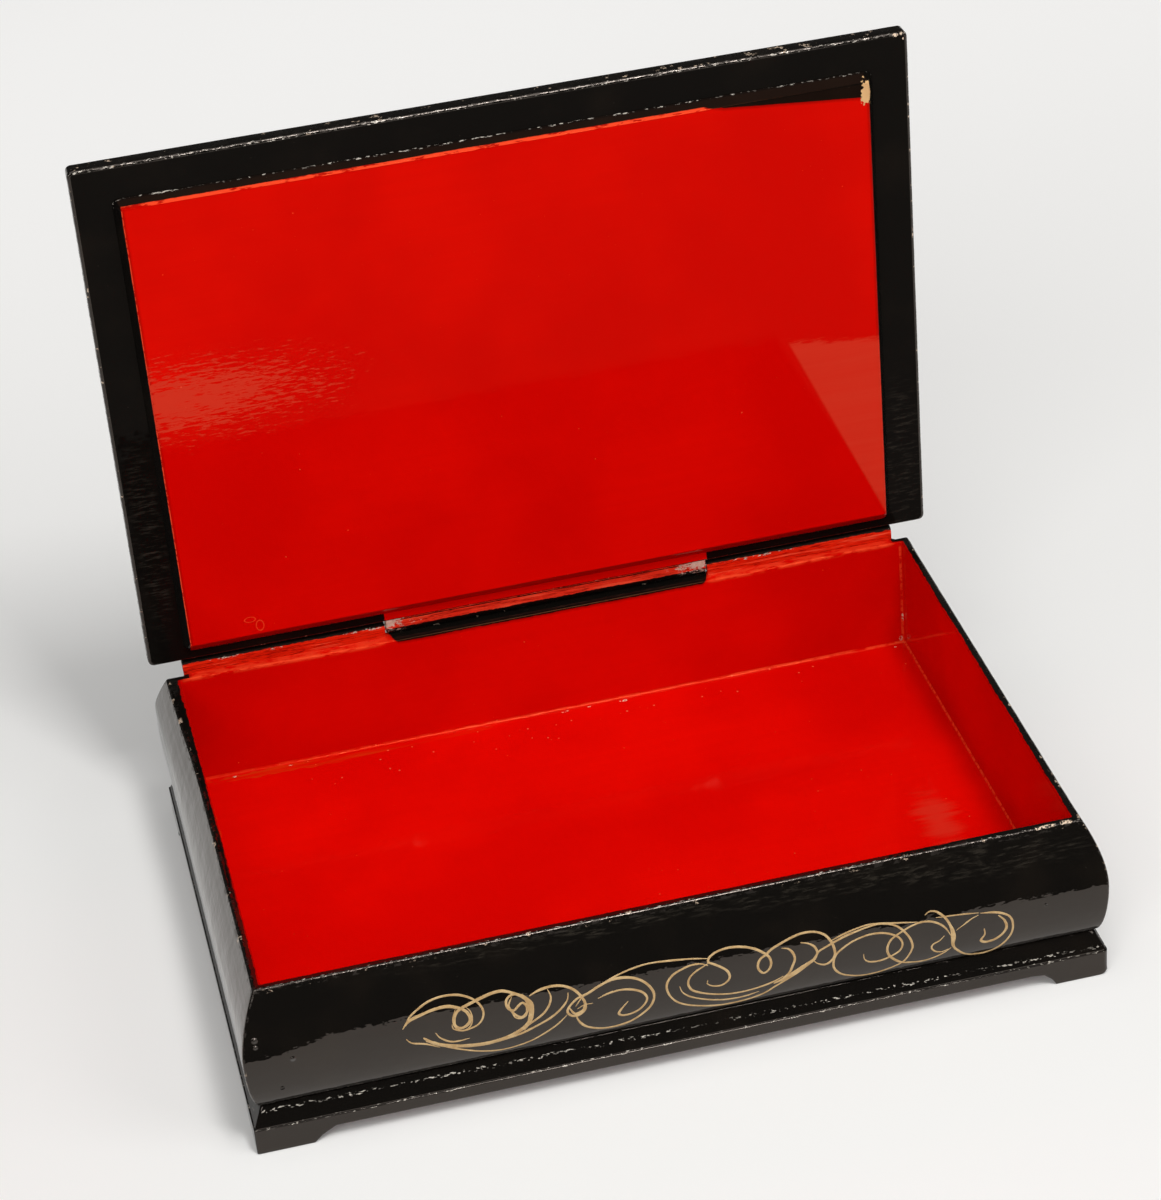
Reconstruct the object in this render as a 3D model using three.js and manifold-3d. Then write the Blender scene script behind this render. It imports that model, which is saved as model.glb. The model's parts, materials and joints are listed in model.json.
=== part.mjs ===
// Lacquered wooden box with a hinged lid, shown with its lid open.
//
// X runs along the length, -Y is the front, +Z is up. The origin is on the
// surface that the feet stand on, under the middle of the box. All sizes are
// in millimetres. Everything that moves with the lid is modelled closed,
// around the hinge axis, and its group is then turned open.

import * as THREE from "three";
import { mergeVertices } from "three/addons/utils/BufferGeometryUtils.js";
import Module from "manifold-3d";

const wasm = await Module();
wasm.setup();

// Tray: the space inside and the heights of its levels
const innerLength = 180;
const innerWidth = 120.8;
const rimHeight = 40.4;
const floorHeight = 10.8;
const floorThickness = 4.8;
const floorRabbet = 1.2;

// Wall moulding: thickness measured outwards from the flat inner face
const rimThickness = 1.9;
const bulgeThickness = 6.65;
const bulgeHeight = 24;
const shoulderFullness = 0.45;
const bellySwell = 2.6;
const bellyTuck = 0.7;

// Plinth: mitred strips under the bulge, cut away between the corner feet
const plinthHeight = 12.1;
const plinthSeat = 2.7;
const plinthThickness = 3.8;
const arrisHeight = 7.4;
const ovoloLift = 2.4;
const ovoloInset = 0.3;
const apronHeight = 3.5;
const footLength = 12.3;
const coveLength = 4.4;

// Lid: a plate with rounded edges and a raised panel that drops inside the rim
const lidSideOverhang = 4.1;
const lidFrontOverhang = 5.0;
const lidThickness = 4.4;
const lidEdgeRound = 1.2;
const lidCornerRadius = 1;
const panelEndClearance = 2.4;
const panelSideClearance = 1.3;
const panelThickness = 2.5;
const panelBevel = 1.6;
const panelCornerRadius = 1.5;
const lidLean = THREE.MathUtils.degToRad(1.2);

// Hinge: sheet rolled round a wire pin, with a flat tail on each leaf
const knuckleRadius = 1.5;
const sheetThickness = 0.45;
const pinRadius = 0.8;
const lidEdgeSetback = 2.3;
const boxTailDepth = 5.4;
const lidTailReach = 5;
const hingeInset = { left: 1.3, right: 2 };
const boxLeafLength = { left: 49.3, right: 47 };

// Clearances
const mitreGap = 0.15;
const glueGap = 0.2;
const seatGap = 0.2;
const leafClearance = 0.1;
const knuckleGap = 0.4;

// Numbers of facets
const arcSteps = 14;
const roundSteps = 20;

// Sizes that follow from the ones above
const halfLength = innerLength / 2;
const halfWidth = innerWidth / 2;
const plinthFace = plinthSeat + plinthThickness;
const shoulderHeight = bulgeHeight + shoulderFullness * (rimHeight - bulgeHeight);
const bellyDrop = bulgeHeight - plinthHeight + bellyTuck;
const bellyAngle = Math.asin((bulgeHeight - plinthHeight) / bellyDrop);
const bellyEnd = bulgeThickness - bellySwell * (1 - Math.cos(bellyAngle));
const hingeEnds = {
  left: -(halfLength - hingeInset.left),
  right: halfLength - hingeInset.right,
};
const lidKnuckleEnds = {
  left: hingeEnds.left + boxLeafLength.left + knuckleGap,
  right: hingeEnds.right - boxLeafLength.right - knuckleGap,
};
const axisBehindRim = leafClearance + knuckleRadius;
const axisAboveLidFace = knuckleRadius + leafClearance;
const hingeAxis = {
  y: halfWidth + rimThickness + axisBehindRim,
  z: rimHeight + seatGap + axisAboveLidFace,
};
const lidNear = -lidEdgeSetback;
const lidFar = -(hingeAxis.y + halfWidth + rimThickness + lidFrontOverhang);
const lidInnerFace = -axisAboveLidFace;
const panelNear = halfWidth - panelSideClearance - hingeAxis.y;
const panelFar = -halfWidth + panelSideClearance - hingeAxis.y;

// Cross-section of a wall: x is outwards from the inner face, y is height
function wallProfile() {
  const tongueBottom = floorHeight - floorThickness;
  const shape = new THREE.Shape();
  shape.moveTo(0, rimHeight);
  shape.lineTo(0, floorHeight);
  shape.lineTo(floorRabbet, floorHeight);
  shape.lineTo(floorRabbet, tongueBottom);
  shape.lineTo(plinthSeat, tongueBottom);
  shape.lineTo(plinthSeat, plinthHeight);
  shape.absellipse(
    bulgeThickness - bellySwell, bulgeHeight, bellySwell, bellyDrop,
    -bellyAngle, 0, false, 0,
  );
  shape.quadraticCurveTo(bulgeThickness, shoulderHeight, rimThickness, rimHeight);
  shape.closePath();
  return shape;
}

// Cross-section of a plinth strip, in the same coordinates as the wall
function plinthProfile() {
  const shape = new THREE.Shape();
  shape.moveTo(plinthSeat, 0);
  shape.lineTo(plinthFace, 0);
  shape.lineTo(plinthFace, arrisHeight);
  shape.quadraticCurveTo(
    plinthFace - ovoloInset, arrisHeight + ovoloLift,
    bellyEnd, plinthHeight,
  );
  shape.lineTo(plinthSeat, plinthHeight);
  shape.closePath();
  return shape;
}

// Moulding along X, with its inner face at y = -halfSpan and 45 degree ends
function mitredMoulding(profile, halfRun, halfSpan) {
  const geometry = new THREE.ExtrudeGeometry(profile, {
    depth: 1,
    bevelEnabled: false,
    curveSegments: arcSteps,
  });
  const points = geometry.getAttribute("position");
  for (let i = 0; i < points.count; i += 1) {
    const outwards = points.getX(i);
    const height = points.getY(i);
    const end = points.getZ(i) > 0.5 ? 1 : -1;
    points.setXYZ(i, end * (halfRun + outwards - mitreGap), -(halfSpan + outwards), height);
  }
  return solidFrom(geometry);
}

// Space between two feet: an apron line with a cove down to each foot
function apronCut(halfRun) {
  const footEnd = halfRun + plinthFace - footLength;
  const coveTop = footEnd - coveLength;
  const shape = new THREE.Shape();
  shape.moveTo(-footEnd, -1);
  shape.lineTo(footEnd, -1);
  shape.lineTo(footEnd, 0);
  shape.quadraticCurveTo(footEnd - coveLength / 3, apronHeight, coveTop, apronHeight);
  shape.lineTo(-coveTop, apronHeight);
  shape.quadraticCurveTo(-footEnd + coveLength / 3, apronHeight, -footEnd, 0);
  shape.closePath();
  const depth = 4 * plinthFace;
  const geometry = new THREE.ExtrudeGeometry(shape, { depth, bevelEnabled: false, curveSegments: 8 });
  geometry.rotateX(Math.PI / 2);
  geometry.translate(0, depth / 2, 0);
  return geometry;
}

// Solid of a closed geometry, for joining and cutting
function solidFrom(geometry) {
  const bare = geometry.index ? geometry.toNonIndexed() : geometry.clone();
  bare.deleteAttribute("normal");
  bare.deleteAttribute("uv");
  const merged = mergeVertices(bare, 1e-4);
  const mesh = new wasm.Mesh({
    numProp: 3,
    vertProperties: new Float32Array(merged.getAttribute("position").array),
    triVerts: new Uint32Array(merged.index.array),
  });
  mesh.merge();
  const solid = new wasm.Manifold(mesh);
  return solid.volume() < 0 ? flipped(merged) : solid;
}

// The same solid from a geometry whose faces point inwards
function flipped(geometry) {
  const corners = new Uint32Array(geometry.index.array);
  for (let i = 0; i < corners.length; i += 3) {
    const first = corners[i];
    corners[i] = corners[i + 1];
    corners[i + 1] = first;
  }
  return new wasm.Manifold(new wasm.Mesh({
    numProp: 3,
    vertProperties: new Float32Array(geometry.getAttribute("position").array),
    triVerts: corners,
  }));
}

// Geometry of a solid, with flat faces
function geometryFrom(solid) {
  const mesh = solid.getMesh();
  const geometry = new THREE.BufferGeometry();
  geometry.setAttribute("position", new THREE.BufferAttribute(mesh.vertProperties, 3));
  geometry.setIndex(new THREE.BufferAttribute(mesh.triVerts, 1));
  const flat = geometry.toNonIndexed();
  flat.computeVertexNormals();
  return flat;
}

// Block between two corners
function block(low, high) {
  const size = high.map((value, i) => value - low[i]);
  const geometry = new THREE.BoxGeometry(...size);
  geometry.translate(...low.map((value, i) => value + size[i] / 2));
  return solidFrom(geometry);
}

// Rectangle with round corners, centred on x = 0 and reaching from y low to y high
function roundedRectangle(halfX, lowY, highY, radius) {
  const shape = new THREE.Shape();
  shape.moveTo(-halfX + radius, lowY);
  shape.lineTo(halfX - radius, lowY);
  shape.absarc(halfX - radius, lowY + radius, radius, -Math.PI / 2, 0, false);
  shape.lineTo(halfX, highY - radius);
  shape.absarc(halfX - radius, highY - radius, radius, 0, Math.PI / 2, false);
  shape.lineTo(-halfX + radius, highY);
  shape.absarc(-halfX + radius, highY - radius, radius, Math.PI / 2, Math.PI, false);
  shape.lineTo(-halfX, lowY + radius);
  shape.absarc(-halfX + radius, lowY + radius, radius, Math.PI, 1.5 * Math.PI, false);
  return shape;
}

// Kerf in the top of the back wall that takes the tail of one hinge leaf
function tailKerf(ends) {
  const front = halfWidth + rimThickness;
  return block(
    [ends.left - leafClearance, front, rimHeight - boxTailDepth - leafClearance],
    [ends.right + leafClearance, front + sheetThickness + 2 * leafClearance, rimHeight + 1],
  );
}

// Lid plate, closed, with a pocket in its inner face for the middle hinge leaf
function lidPlateSolid() {
  const halfX = halfLength + rimThickness + lidSideOverhang;
  const outline = roundedRectangle(
    halfX - lidEdgeRound, lidFar + lidEdgeRound, lidNear - lidEdgeRound,
    lidCornerRadius,
  );
  const geometry = new THREE.ExtrudeGeometry(outline, {
    depth: lidThickness - 2 * lidEdgeRound,
    bevelThickness: lidEdgeRound,
    bevelSize: lidEdgeRound,
    bevelSegments: 4,
    curveSegments: 5,
  });
  geometry.translate(0, 0, lidInnerFace + lidEdgeRound);
  const pocketDepth = axisAboveLidFace - (knuckleRadius - sheetThickness) + leafClearance;
  const pocket = block(
    [lidKnuckleEnds.left - leafClearance, panelNear - lidTailReach - leafClearance, lidInnerFace - 1],
    [lidKnuckleEnds.right + leafClearance, lidNear + 1, lidInnerFace + pocketDepth],
  );
  return solidFrom(geometry).subtract(pocket);
}

// Raised panel on the lid's inner face, smaller on its free side
function lidPanelSolid() {
  const halfX = halfLength - panelEndClearance;
  const outline = roundedRectangle(halfX, panelFar, panelNear, panelCornerRadius);
  const geometry = new THREE.ExtrudeGeometry(outline, {
    depth: panelThickness,
    bevelEnabled: false,
    curveSegments: 5,
  });
  const top = lidInnerFace - glueGap;
  const middle = (panelFar + panelNear) / 2;
  const points = geometry.getAttribute("position");
  for (let i = 0; i < points.count; i += 1) {
    const x = points.getX(i);
    const y = points.getY(i);
    const inset = points.getZ(i) > panelThickness / 2 ? 0 : panelBevel;
    const lift = points.getZ(i) - panelThickness;
    points.setXYZ(i, x - Math.sign(x) * inset, y - Math.sign(y - middle) * inset, top + lift);
  }
  return solidFrom(geometry);
}

// Rolled leaf: a tube round the axis, with a flat tail that leaves it downwards
// on the front side (-1) or on the back side (1)
function rolledLeaf(ends, tailEnd, side) {
  const bore = knuckleRadius - sheetThickness;
  const tailAngle = Math.acos(bore / knuckleRadius);
  const start = side < 0 ? Math.PI + tailAngle : -tailAngle;
  const finish = side < 0 ? 3 * Math.PI : -2 * Math.PI;
  const shape = new THREE.Shape();
  shape.moveTo(side * bore, -tailEnd);
  shape.lineTo(side * bore, -knuckleRadius * Math.sin(tailAngle));
  shape.absarc(0, 0, knuckleRadius, start, finish, side > 0);
  shape.lineTo(side * knuckleRadius, -tailEnd);
  shape.closePath();
  const hole = new THREE.Path();
  hole.absarc(0, 0, bore, 0, 2 * Math.PI, side < 0);
  shape.holes.push(hole);
  const geometry = new THREE.ExtrudeGeometry(shape, {
    depth: ends.right - ends.left,
    bevelEnabled: false,
    curveSegments: roundSteps,
  });
  geometry.applyMatrix4(new THREE.Matrix4().set(
    0, 0, 1, ends.left,
    1, 0, 0, 0,
    0, 1, 0, 0,
    0, 0, 0, 1,
  ));
  return geometryFrom(solidFrom(geometry));
}

// Colours of the finishes
const finishes = {
  blackLacquer: { color: 0x0f0d0b, roughness: 0.12, metalness: 0 },
  redLacquer: { color: 0xc80a05, roughness: 0.18, metalness: 0 },
  paintedSheet: { color: 0xb01008, roughness: 0.3, metalness: 0.2 },
  steelWire: { color: 0xa39b8c, roughness: 0.35, metalness: 1 },
};

function piece(name, geometry, finish) {
  const mesh = new THREE.Mesh(geometry, new THREE.MeshStandardMaterial(finishes[finish]));
  mesh.name = name;
  return mesh;
}

const box = new THREE.Group();

// Hinge leaves of the box: one each side of the lid's knuckle
const boxLeaves = {
  hinge_leaf_left: { left: hingeEnds.left, right: hingeEnds.left + boxLeafLength.left },
  hinge_leaf_right: { left: hingeEnds.right - boxLeafLength.right, right: hingeEnds.right },
};

// Walls and plinth strips, each made as a front one and turned to its side
const sides = {
  front: { turn: 0, halfRun: halfLength, halfSpan: halfWidth },
  right: { turn: Math.PI / 2, halfRun: halfWidth, halfSpan: halfLength },
  back: { turn: Math.PI, halfRun: halfLength, halfSpan: halfWidth },
  left: { turn: -Math.PI / 2, halfRun: halfWidth, halfSpan: halfLength },
};

function wallSolid(side) {
  const { turn, halfRun, halfSpan } = sides[side];
  let solid = mitredMoulding(wallProfile(), halfRun, halfSpan);
  solid = solid.rotate([0, 0, THREE.MathUtils.radToDeg(turn)]);
  if (side === "back") {
    for (const ends of Object.values(boxLeaves)) {
      solid = solid.subtract(tailKerf(ends));
    }
  }
  return solid;
}

function plinthSolid(side) {
  const { turn, halfRun, halfSpan } = sides[side];
  const cut = apronCut(halfRun);
  cut.translate(0, -(halfSpan + plinthFace), 0);
  const solid = mitredMoulding(plinthProfile(), halfRun, halfSpan).subtract(solidFrom(cut));
  return solid.rotate([0, 0, THREE.MathUtils.radToDeg(turn)]);
}

for (const side of Object.keys(sides)) {
  box.add(piece(`${side}_wall`, geometryFrom(wallSolid(side)), "blackLacquer"));
  box.add(piece(`plinth_${side}`, geometryFrom(plinthSolid(side)), "blackLacquer"));
}

// Floor board in the rabbet of the walls
const floorBoard = block(
  [
    -(halfLength + floorRabbet - mitreGap),
    -(halfWidth + floorRabbet - mitreGap),
    floorHeight - floorThickness,
  ],
  [halfLength + floorRabbet - mitreGap, halfWidth + floorRabbet - mitreGap, floorHeight],
);
box.add(piece("floor_board", geometryFrom(floorBoard), "redLacquer"));

// Hinge on the box: two leaves with their tails down in the kerfs, and the wire pin
const boxHinge = new THREE.Group();
boxHinge.position.set(0, hingeAxis.y, hingeAxis.z);
for (const [name, ends] of Object.entries(boxLeaves)) {
  const tailEnd = hingeAxis.z - rimHeight + boxTailDepth;
  boxHinge.add(piece(name, rolledLeaf(ends, tailEnd, -1), "paintedSheet"));
}
const pin = new THREE.CylinderGeometry(pinRadius, pinRadius, hingeEnds.right - hingeEnds.left, 16);
pin.rotateZ(Math.PI / 2);
pin.translate((hingeEnds.left + hingeEnds.right) / 2, 0, 0);
boxHinge.add(piece("hinge_pin", pin, "steelWire"));
box.add(boxHinge);

// Lid, modelled closed round the hinge axis and turned open past upright
const lid = new THREE.Group();
lid.position.set(0, hingeAxis.y, hingeAxis.z);
lid.rotation.x = -(Math.PI / 2 + lidLean);
lid.add(piece("lid_plate", geometryFrom(lidPlateSolid()), "blackLacquer"));
lid.add(piece("lid_panel", geometryFrom(lidPanelSolid()), "redLacquer"));
const lidLeaf = rolledLeaf(lidKnuckleEnds, lidTailReach - panelNear, 1);
lidLeaf.rotateX(-Math.PI / 2);
lid.add(piece("hinge_leaf_lid", lidLeaf, "paintedSheet"));
box.add(lid);

export default box;
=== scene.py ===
import json
import math

import bpy
import numpy as np
from mathutils import Matrix, Vector, noise


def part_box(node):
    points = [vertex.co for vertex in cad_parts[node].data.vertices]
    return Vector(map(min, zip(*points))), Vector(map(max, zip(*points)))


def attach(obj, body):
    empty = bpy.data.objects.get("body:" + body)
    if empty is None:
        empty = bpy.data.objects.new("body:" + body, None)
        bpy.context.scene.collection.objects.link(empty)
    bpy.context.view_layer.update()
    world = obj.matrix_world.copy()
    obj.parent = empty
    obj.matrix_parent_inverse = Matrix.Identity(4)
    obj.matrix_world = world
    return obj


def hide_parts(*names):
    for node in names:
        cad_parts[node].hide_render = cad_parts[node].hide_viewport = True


# Lacquered wooden box with a hinged lid: paint, wear, gold scroll and studio.
# All sizes are in metres. X is the length, -Y the front, +Z up.

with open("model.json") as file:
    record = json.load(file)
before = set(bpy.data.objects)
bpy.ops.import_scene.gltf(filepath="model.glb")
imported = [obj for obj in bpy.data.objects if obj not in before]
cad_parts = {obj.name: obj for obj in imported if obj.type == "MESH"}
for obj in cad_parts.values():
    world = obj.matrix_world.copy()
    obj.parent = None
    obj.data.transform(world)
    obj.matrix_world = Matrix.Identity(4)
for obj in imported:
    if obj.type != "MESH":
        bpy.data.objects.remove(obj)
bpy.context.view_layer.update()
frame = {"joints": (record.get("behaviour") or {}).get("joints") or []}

MM = 0.001
JOINT = frame["joints"][0]
HINGE_AXIS = Vector(JOINT["pos_m"])

# Tray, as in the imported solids
HALF_LENGTH = 0.090
HALF_WIDTH = 0.0604
RIM_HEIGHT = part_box("front_wall")[1].z
FLOOR_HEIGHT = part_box("floor_board")[1].z
FLOOR_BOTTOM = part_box("floor_board")[0].z
FLOOR_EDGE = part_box("floor_board")[1].x - HALF_LENGTH
RIM_THICKNESS = 0.0019
BULGE_THICKNESS = 0.00665
BULGE_HEIGHT = 0.024
BELLY_SWELL = 0.0026
BELLY_DROP = 0.0126
PLINTH_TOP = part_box("plinth_front")[1].z
PLINTH_SEAT = 0.0027
FLOOR_RABBET = 0.0012

# Plinth strips
PLINTH_FACE = 0.0065
ARRIS_HEIGHT = 0.0065
APRON_HEIGHT = 0.0035
FOOT_LENGTH = 0.0123
COVE_LENGTH = 0.0044
LONGER_FOOT = 0.0012
WORN_FOOT = 0.0021
# Heights of the line of painted glints on the ovolo, at its left and right ends
GLINT_HEIGHTS = (0.0100, 0.0076)

# Lid, measured closed and around the hinge axis
LID_LEAN = math.radians(1.2)
LID_HALF_X = 0.0960
LID_SPREAD = 0.0006
LID_NEAR = -0.0023
LID_FAR = -0.1312
LID_INNER = -0.0016
LID_OUTER = 0.00279
LID_ROUND = 0.0008
LID_BACK_ROUND = 0.0005
LID_CORNER = 0.0010
HINGE_EDGE_ROUND = 0.0004
PANEL_HALF_X = 0.0876
PANEL_NEAR = -0.0048
PANEL_FAR = -0.1230
PANEL_BASE = -0.0017
PANEL_FACE = -0.0043
PANEL_BEVEL = 0.0016
HINGE_BEVEL = 0.00265

# Hinge
KNUCKLE_RADIUS = 0.0015
SHEET = 0.00045
PIN_RADIUS = 0.0008
BOX_TAIL_END = 0.0071
LID_TAIL_END = 0.0097
ROLL_DEGREES = 341
HINGE_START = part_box("hinge_leaf_left")[0].x
HINGE_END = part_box("hinge_leaf_right")[1].x
MIDDLE_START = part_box("hinge_leaf_lid")[0].x
MIDDLE_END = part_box("hinge_leaf_lid")[1].x

# Ledge of the back wall's rim under the hinge: how far out it reaches at the top
# and at its foot, the height of its foot, and how much the inner edge sags
LEDGE = 0.0040
LEDGE_FOOT = 0.0036
LEDGE_LOW = 0.037
RIM_SAG = 0.0005

# How far the left wall's shoulder stands out towards the back
FULLER = 1.1 * MM

# Rounds of the edges and corners under the paint
EDGE_ROUND = 0.0007
RIM_ROUND = 0.0005
MITRE_ROUND = 0.0006
PLINTH_ROUND = 0.0005
INNER_FILLET = 0.0009
FLOOR_FILLET = 0.0011

# Half the width of the blur where red paint meets black, in mm
PAINT_EDGE = 0.06

# Camera, worked out from the corners of the box in the photograph
PHOTO_WIDTH = 1161
PHOTO_HEIGHT = 1200
FOCAL_PIXELS = 3610.8
SENSOR = 36.0
CAMERA_AZIMUTH = -0.1866
CAMERA_ELEVATION = 0.5679
CAMERA_ROLL = -0.0886
CAMERA_DISTANCE = 0.83016
CAMERA_AIM = Vector((0, 0, 0.030))
CAMERA_SHIFT_RIGHT = -0.002812
CAMERA_SHIFT_UP = 0.04240


def camera_axes():
    """Place, right, up and backward directions of the camera."""
    level = math.cos(CAMERA_ELEVATION)
    back = Vector((
        math.sin(CAMERA_AZIMUTH) * level,
        -math.cos(CAMERA_AZIMUTH) * level,
        math.sin(CAMERA_ELEVATION),
    ))
    right = (-back).cross(Vector((0, 0, 1))).normalized()
    up = right.cross(-back)
    place = CAMERA_AIM + back * CAMERA_DISTANCE
    place = place + right * CAMERA_SHIFT_RIGHT + up * CAMERA_SHIFT_UP
    turn = Matrix.Rotation(CAMERA_ROLL, 3, back)
    return place, turn @ right, turn @ up, back


def make_camera():
    data = bpy.data.cameras.new("camera")
    data.sensor_fit = "AUTO"
    data.sensor_width = SENSOR
    data.lens = FOCAL_PIXELS / PHOTO_HEIGHT * SENSOR
    data.clip_start = 0.01
    data.clip_end = 200
    camera = bpy.data.objects.new("camera", data)
    bpy.context.scene.collection.objects.link(camera)
    place, right, up, back = camera_axes()
    turn = Matrix((right, up, back)).transposed()
    camera.matrix_world = Matrix.Translation(place) @ turn.to_4x4()
    bpy.context.scene.camera = camera


def pixel_ray(u, v):
    """Start and direction of the line of sight through a pixel of the photograph."""
    place, right, up, back = camera_axes()
    direction = -back * FOCAL_PIXELS
    direction = direction + right * (u - PHOTO_WIDTH / 2) - up * (v - PHOTO_HEIGHT / 2)
    return place, direction.normalized()


make_camera()


# Outer face of the tray's walls: a half belly below and, above it, a shoulder
# that leans in more and more up to the rim

SHOULDER_FULLNESS = 0.45


def shoulder_line():
    """Heights and outward distances from the bulge to the rim."""
    bend = BULGE_HEIGHT + SHOULDER_FULLNESS * (RIM_HEIGHT - BULGE_HEIGHT)
    t = np.linspace(0, 1, 120)
    heights = (1 - t) ** 2 * BULGE_HEIGHT + 2 * t * (1 - t) * bend + t ** 2 * RIM_HEIGHT
    return heights, (1 - t ** 2) * BULGE_THICKNESS + t ** 2 * RIM_THICKNESS


SHOULDER_HEIGHTS, SHOULDER_OUTS = shoulder_line()
BELLY_SHARES = np.linspace(0.999, 0.005, 60)
FACE_HEIGHTS = np.concatenate([BULGE_HEIGHT - BELLY_DROP * BELLY_SHARES, SHOULDER_HEIGHTS])
FACE_OUTS = np.concatenate([
    BULGE_THICKNESS - BELLY_SWELL * (1 - np.sqrt(1 - BELLY_SHARES ** 2)), SHOULDER_OUTS,
])


def outer_face(height):
    """Outward distance of a wall's outer face at a height."""
    return float(np.interp(height, FACE_HEIGHTS, FACE_OUTS))


def on_front(u, v):
    """Point of the front wall's outer face seen at a pixel of the photograph."""
    start, direction = pixel_ray(u, v)
    low, high = PLINTH_TOP, RIM_HEIGHT
    for _ in range(40):
        height = (low + high) / 2
        point = start + direction * ((height - start.z) / direction.z)
        if point.y < -(HALF_WIDTH + outer_face(height)):
            high = height
        else:
            low = height
    return point


# Materials: a small builder, then one function for each finish

class Nodes:
    """Adds shader nodes to a material or world, and links or sets their inputs by name."""

    def __init__(self, owner):
        owner.use_nodes = True
        self.owner = owner
        self.tree = owner.node_tree
        self.tree.nodes.clear()

    def add(self, kind, values=None, **settings):
        made = self.tree.nodes.new("ShaderNode" + kind)
        for key, value in settings.items():
            setattr(made, key, value)
        for key, value in (values or {}).items():
            self.put(made.inputs[key], value)
        return made

    def put(self, socket, value):
        if isinstance(value, bpy.types.NodeSocket):
            self.tree.links.new(value, socket)
        elif socket.type == "RGBA" and len(value) == 3:
            socket.default_value = (*value, 1)
        else:
            socket.default_value = value

    def place(self):
        return self.add("TexCoord").outputs["Object"]

    def vector(self, operation, *values):
        return self.add("VectorMath", dict(enumerate(values)), operation=operation).outputs

    def scaled(self, vector, scale):
        return self.vector("MULTIPLY", vector, scale)[0]

    def math(self, operation, first, second=0.0, clamp=False):
        made = self.add("Math", {0: first, 1: second}, operation=operation, use_clamp=clamp)
        return made.outputs[0]

    def plus(self, first, *others):
        for other in others:
            first = self.math("ADD", first, other)
        return first

    def minus(self, first, second):
        return self.math("SUBTRACT", first, second)

    def times(self, first, *others):
        for other in others:
            first = self.math("MULTIPLY", first, other)
        return first

    def noise(self, vector, scale, detail=2.0, roughness=0.5):
        values = {"Vector": vector, "Scale": scale, "Detail": detail, "Roughness": roughness}
        return self.add("TexNoise", values).outputs["Fac"]

    def strands(self, vector, scale, detail=2.0, roughness=0.5):
        """Noise stretched along the directions in which the scale is small."""
        return self.noise(self.scaled(vector, scale), 1.0, detail, roughness)

    def cells(self, vector, scale):
        """Scattered cells: a random number for each, and the distance from its middle."""
        made = self.add("TexVoronoi", {"Vector": vector, "Scale": scale}).outputs
        return self.add("SeparateColor", {0: made["Color"]}).outputs[0], made["Distance"]

    def ramp(self, value, low, high, to_low=0.0, to_high=1.0, smooth=True):
        kind = "SMOOTHSTEP" if smooth else "LINEAR"
        values = {
            "Value": value, "From Min": low, "From Max": high,
            "To Min": to_low, "To Max": to_high,
        }
        return self.add("MapRange", values, interpolation_type=kind).outputs["Result"]

    def swing(self, value, reach):
        """A noise from 0 to 1, turned into -reach to reach."""
        return self.ramp(value, 0, 1, -reach, reach, smooth=False)

    def mix(self, share, first, second):
        made = self.add("Mix", data_type="RGBA")
        self.put(made.inputs["Factor"], share)
        self.put(made.inputs[6], first)
        self.put(made.inputs[7], second)
        return made.outputs[2]

    def attribute(self, name):
        return self.add("Attribute", attribute_name=name).outputs["Fac"]

    def away(self, centre):
        """Vector from a point of the object."""
        return self.vector("SUBTRACT", self.place(), centre)[0]

    def out_of(self, centre, size):
        """Distance from a point of the object, 1 on an ellipsoid of the given size."""
        scaled = self.scaled(self.away(centre), tuple(1 / s for s in size))
        return self.vector("LENGTH", scaled)["Value"]

    def spot(self, centre, size, ragged, grain=900.0):
        """1 inside an ellipsoid about a point of the object, with a ragged edge."""
        rough = self.swing(self.noise(self.place(), grain, 3), ragged)
        return self.ramp(self.plus(self.out_of(centre, size), rough), 0.92, 1.0, 1.0, 0.0)

    def fade(self, centre, size):
        """1 at a point of the object, falling to 0 at the edge of an ellipsoid about it."""
        return self.minus(1.0, self.out_of(centre, size))

    def beyond(self, point, direction):
        """Distance past a plane through a point, in mm, along a direction."""
        along = tuple(d / MM for d in direction)
        return self.vector("DOT_PRODUCT", self.away(point), along)["Value"]

    def block(self, low, high, ragged):
        """1 inside a box between two corners, with edges ragged by some mm."""
        rough = self.swing(self.noise(self.place(), 700, 3), ragged)
        depth = None
        for axis in range(3):
            inward = tuple(1.0 if k == axis else 0.0 for k in range(3))
            outward = tuple(-v for v in inward)
            for point, direction in ((low, inward), (high, outward)):
                inside = self.beyond(point, direction)
                depth = inside if depth is None else self.math("MINIMUM", depth, inside)
        return self.ramp(self.plus(depth, rough), -PAINT_EDGE, PAINT_EDGE)

    def ring(self, centre, size, width):
        """1 on the outline of an ellipsoid about a point; width is a share of its size."""
        return self.ramp(self.math("ABSOLUTE", self.fade(centre, size)), 0.0, width, 1.0, 0.0)

    def bump(self, height):
        return self.add("Bump", {"Height": height, "Distance": 1.0}).outputs["Normal"]

    def finish(self, values):
        shader = self.add("BsdfPrincipled", values)
        self.add("OutputMaterial", {0: shader.outputs[0]})
        return self.owner


def orange_peel(n, place, depth, scale):
    """Height of the slow waves that brushed lacquer dries in."""
    wave = n.noise(place, scale, 2.0, 0.45)
    return n.times(n.minus(wave, 0.5), depth)


def dust_nibs(n, place, scale, radius, height, share):
    """Height of the grains of dust caught in the lacquer."""
    lot, distance = n.cells(place, scale)
    picked = n.ramp(lot, 1 - share, 1 - share + 0.01)
    return n.times(n.ramp(distance, 0.0, radius * scale, 1.0, 0.0), picked, height)


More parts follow.
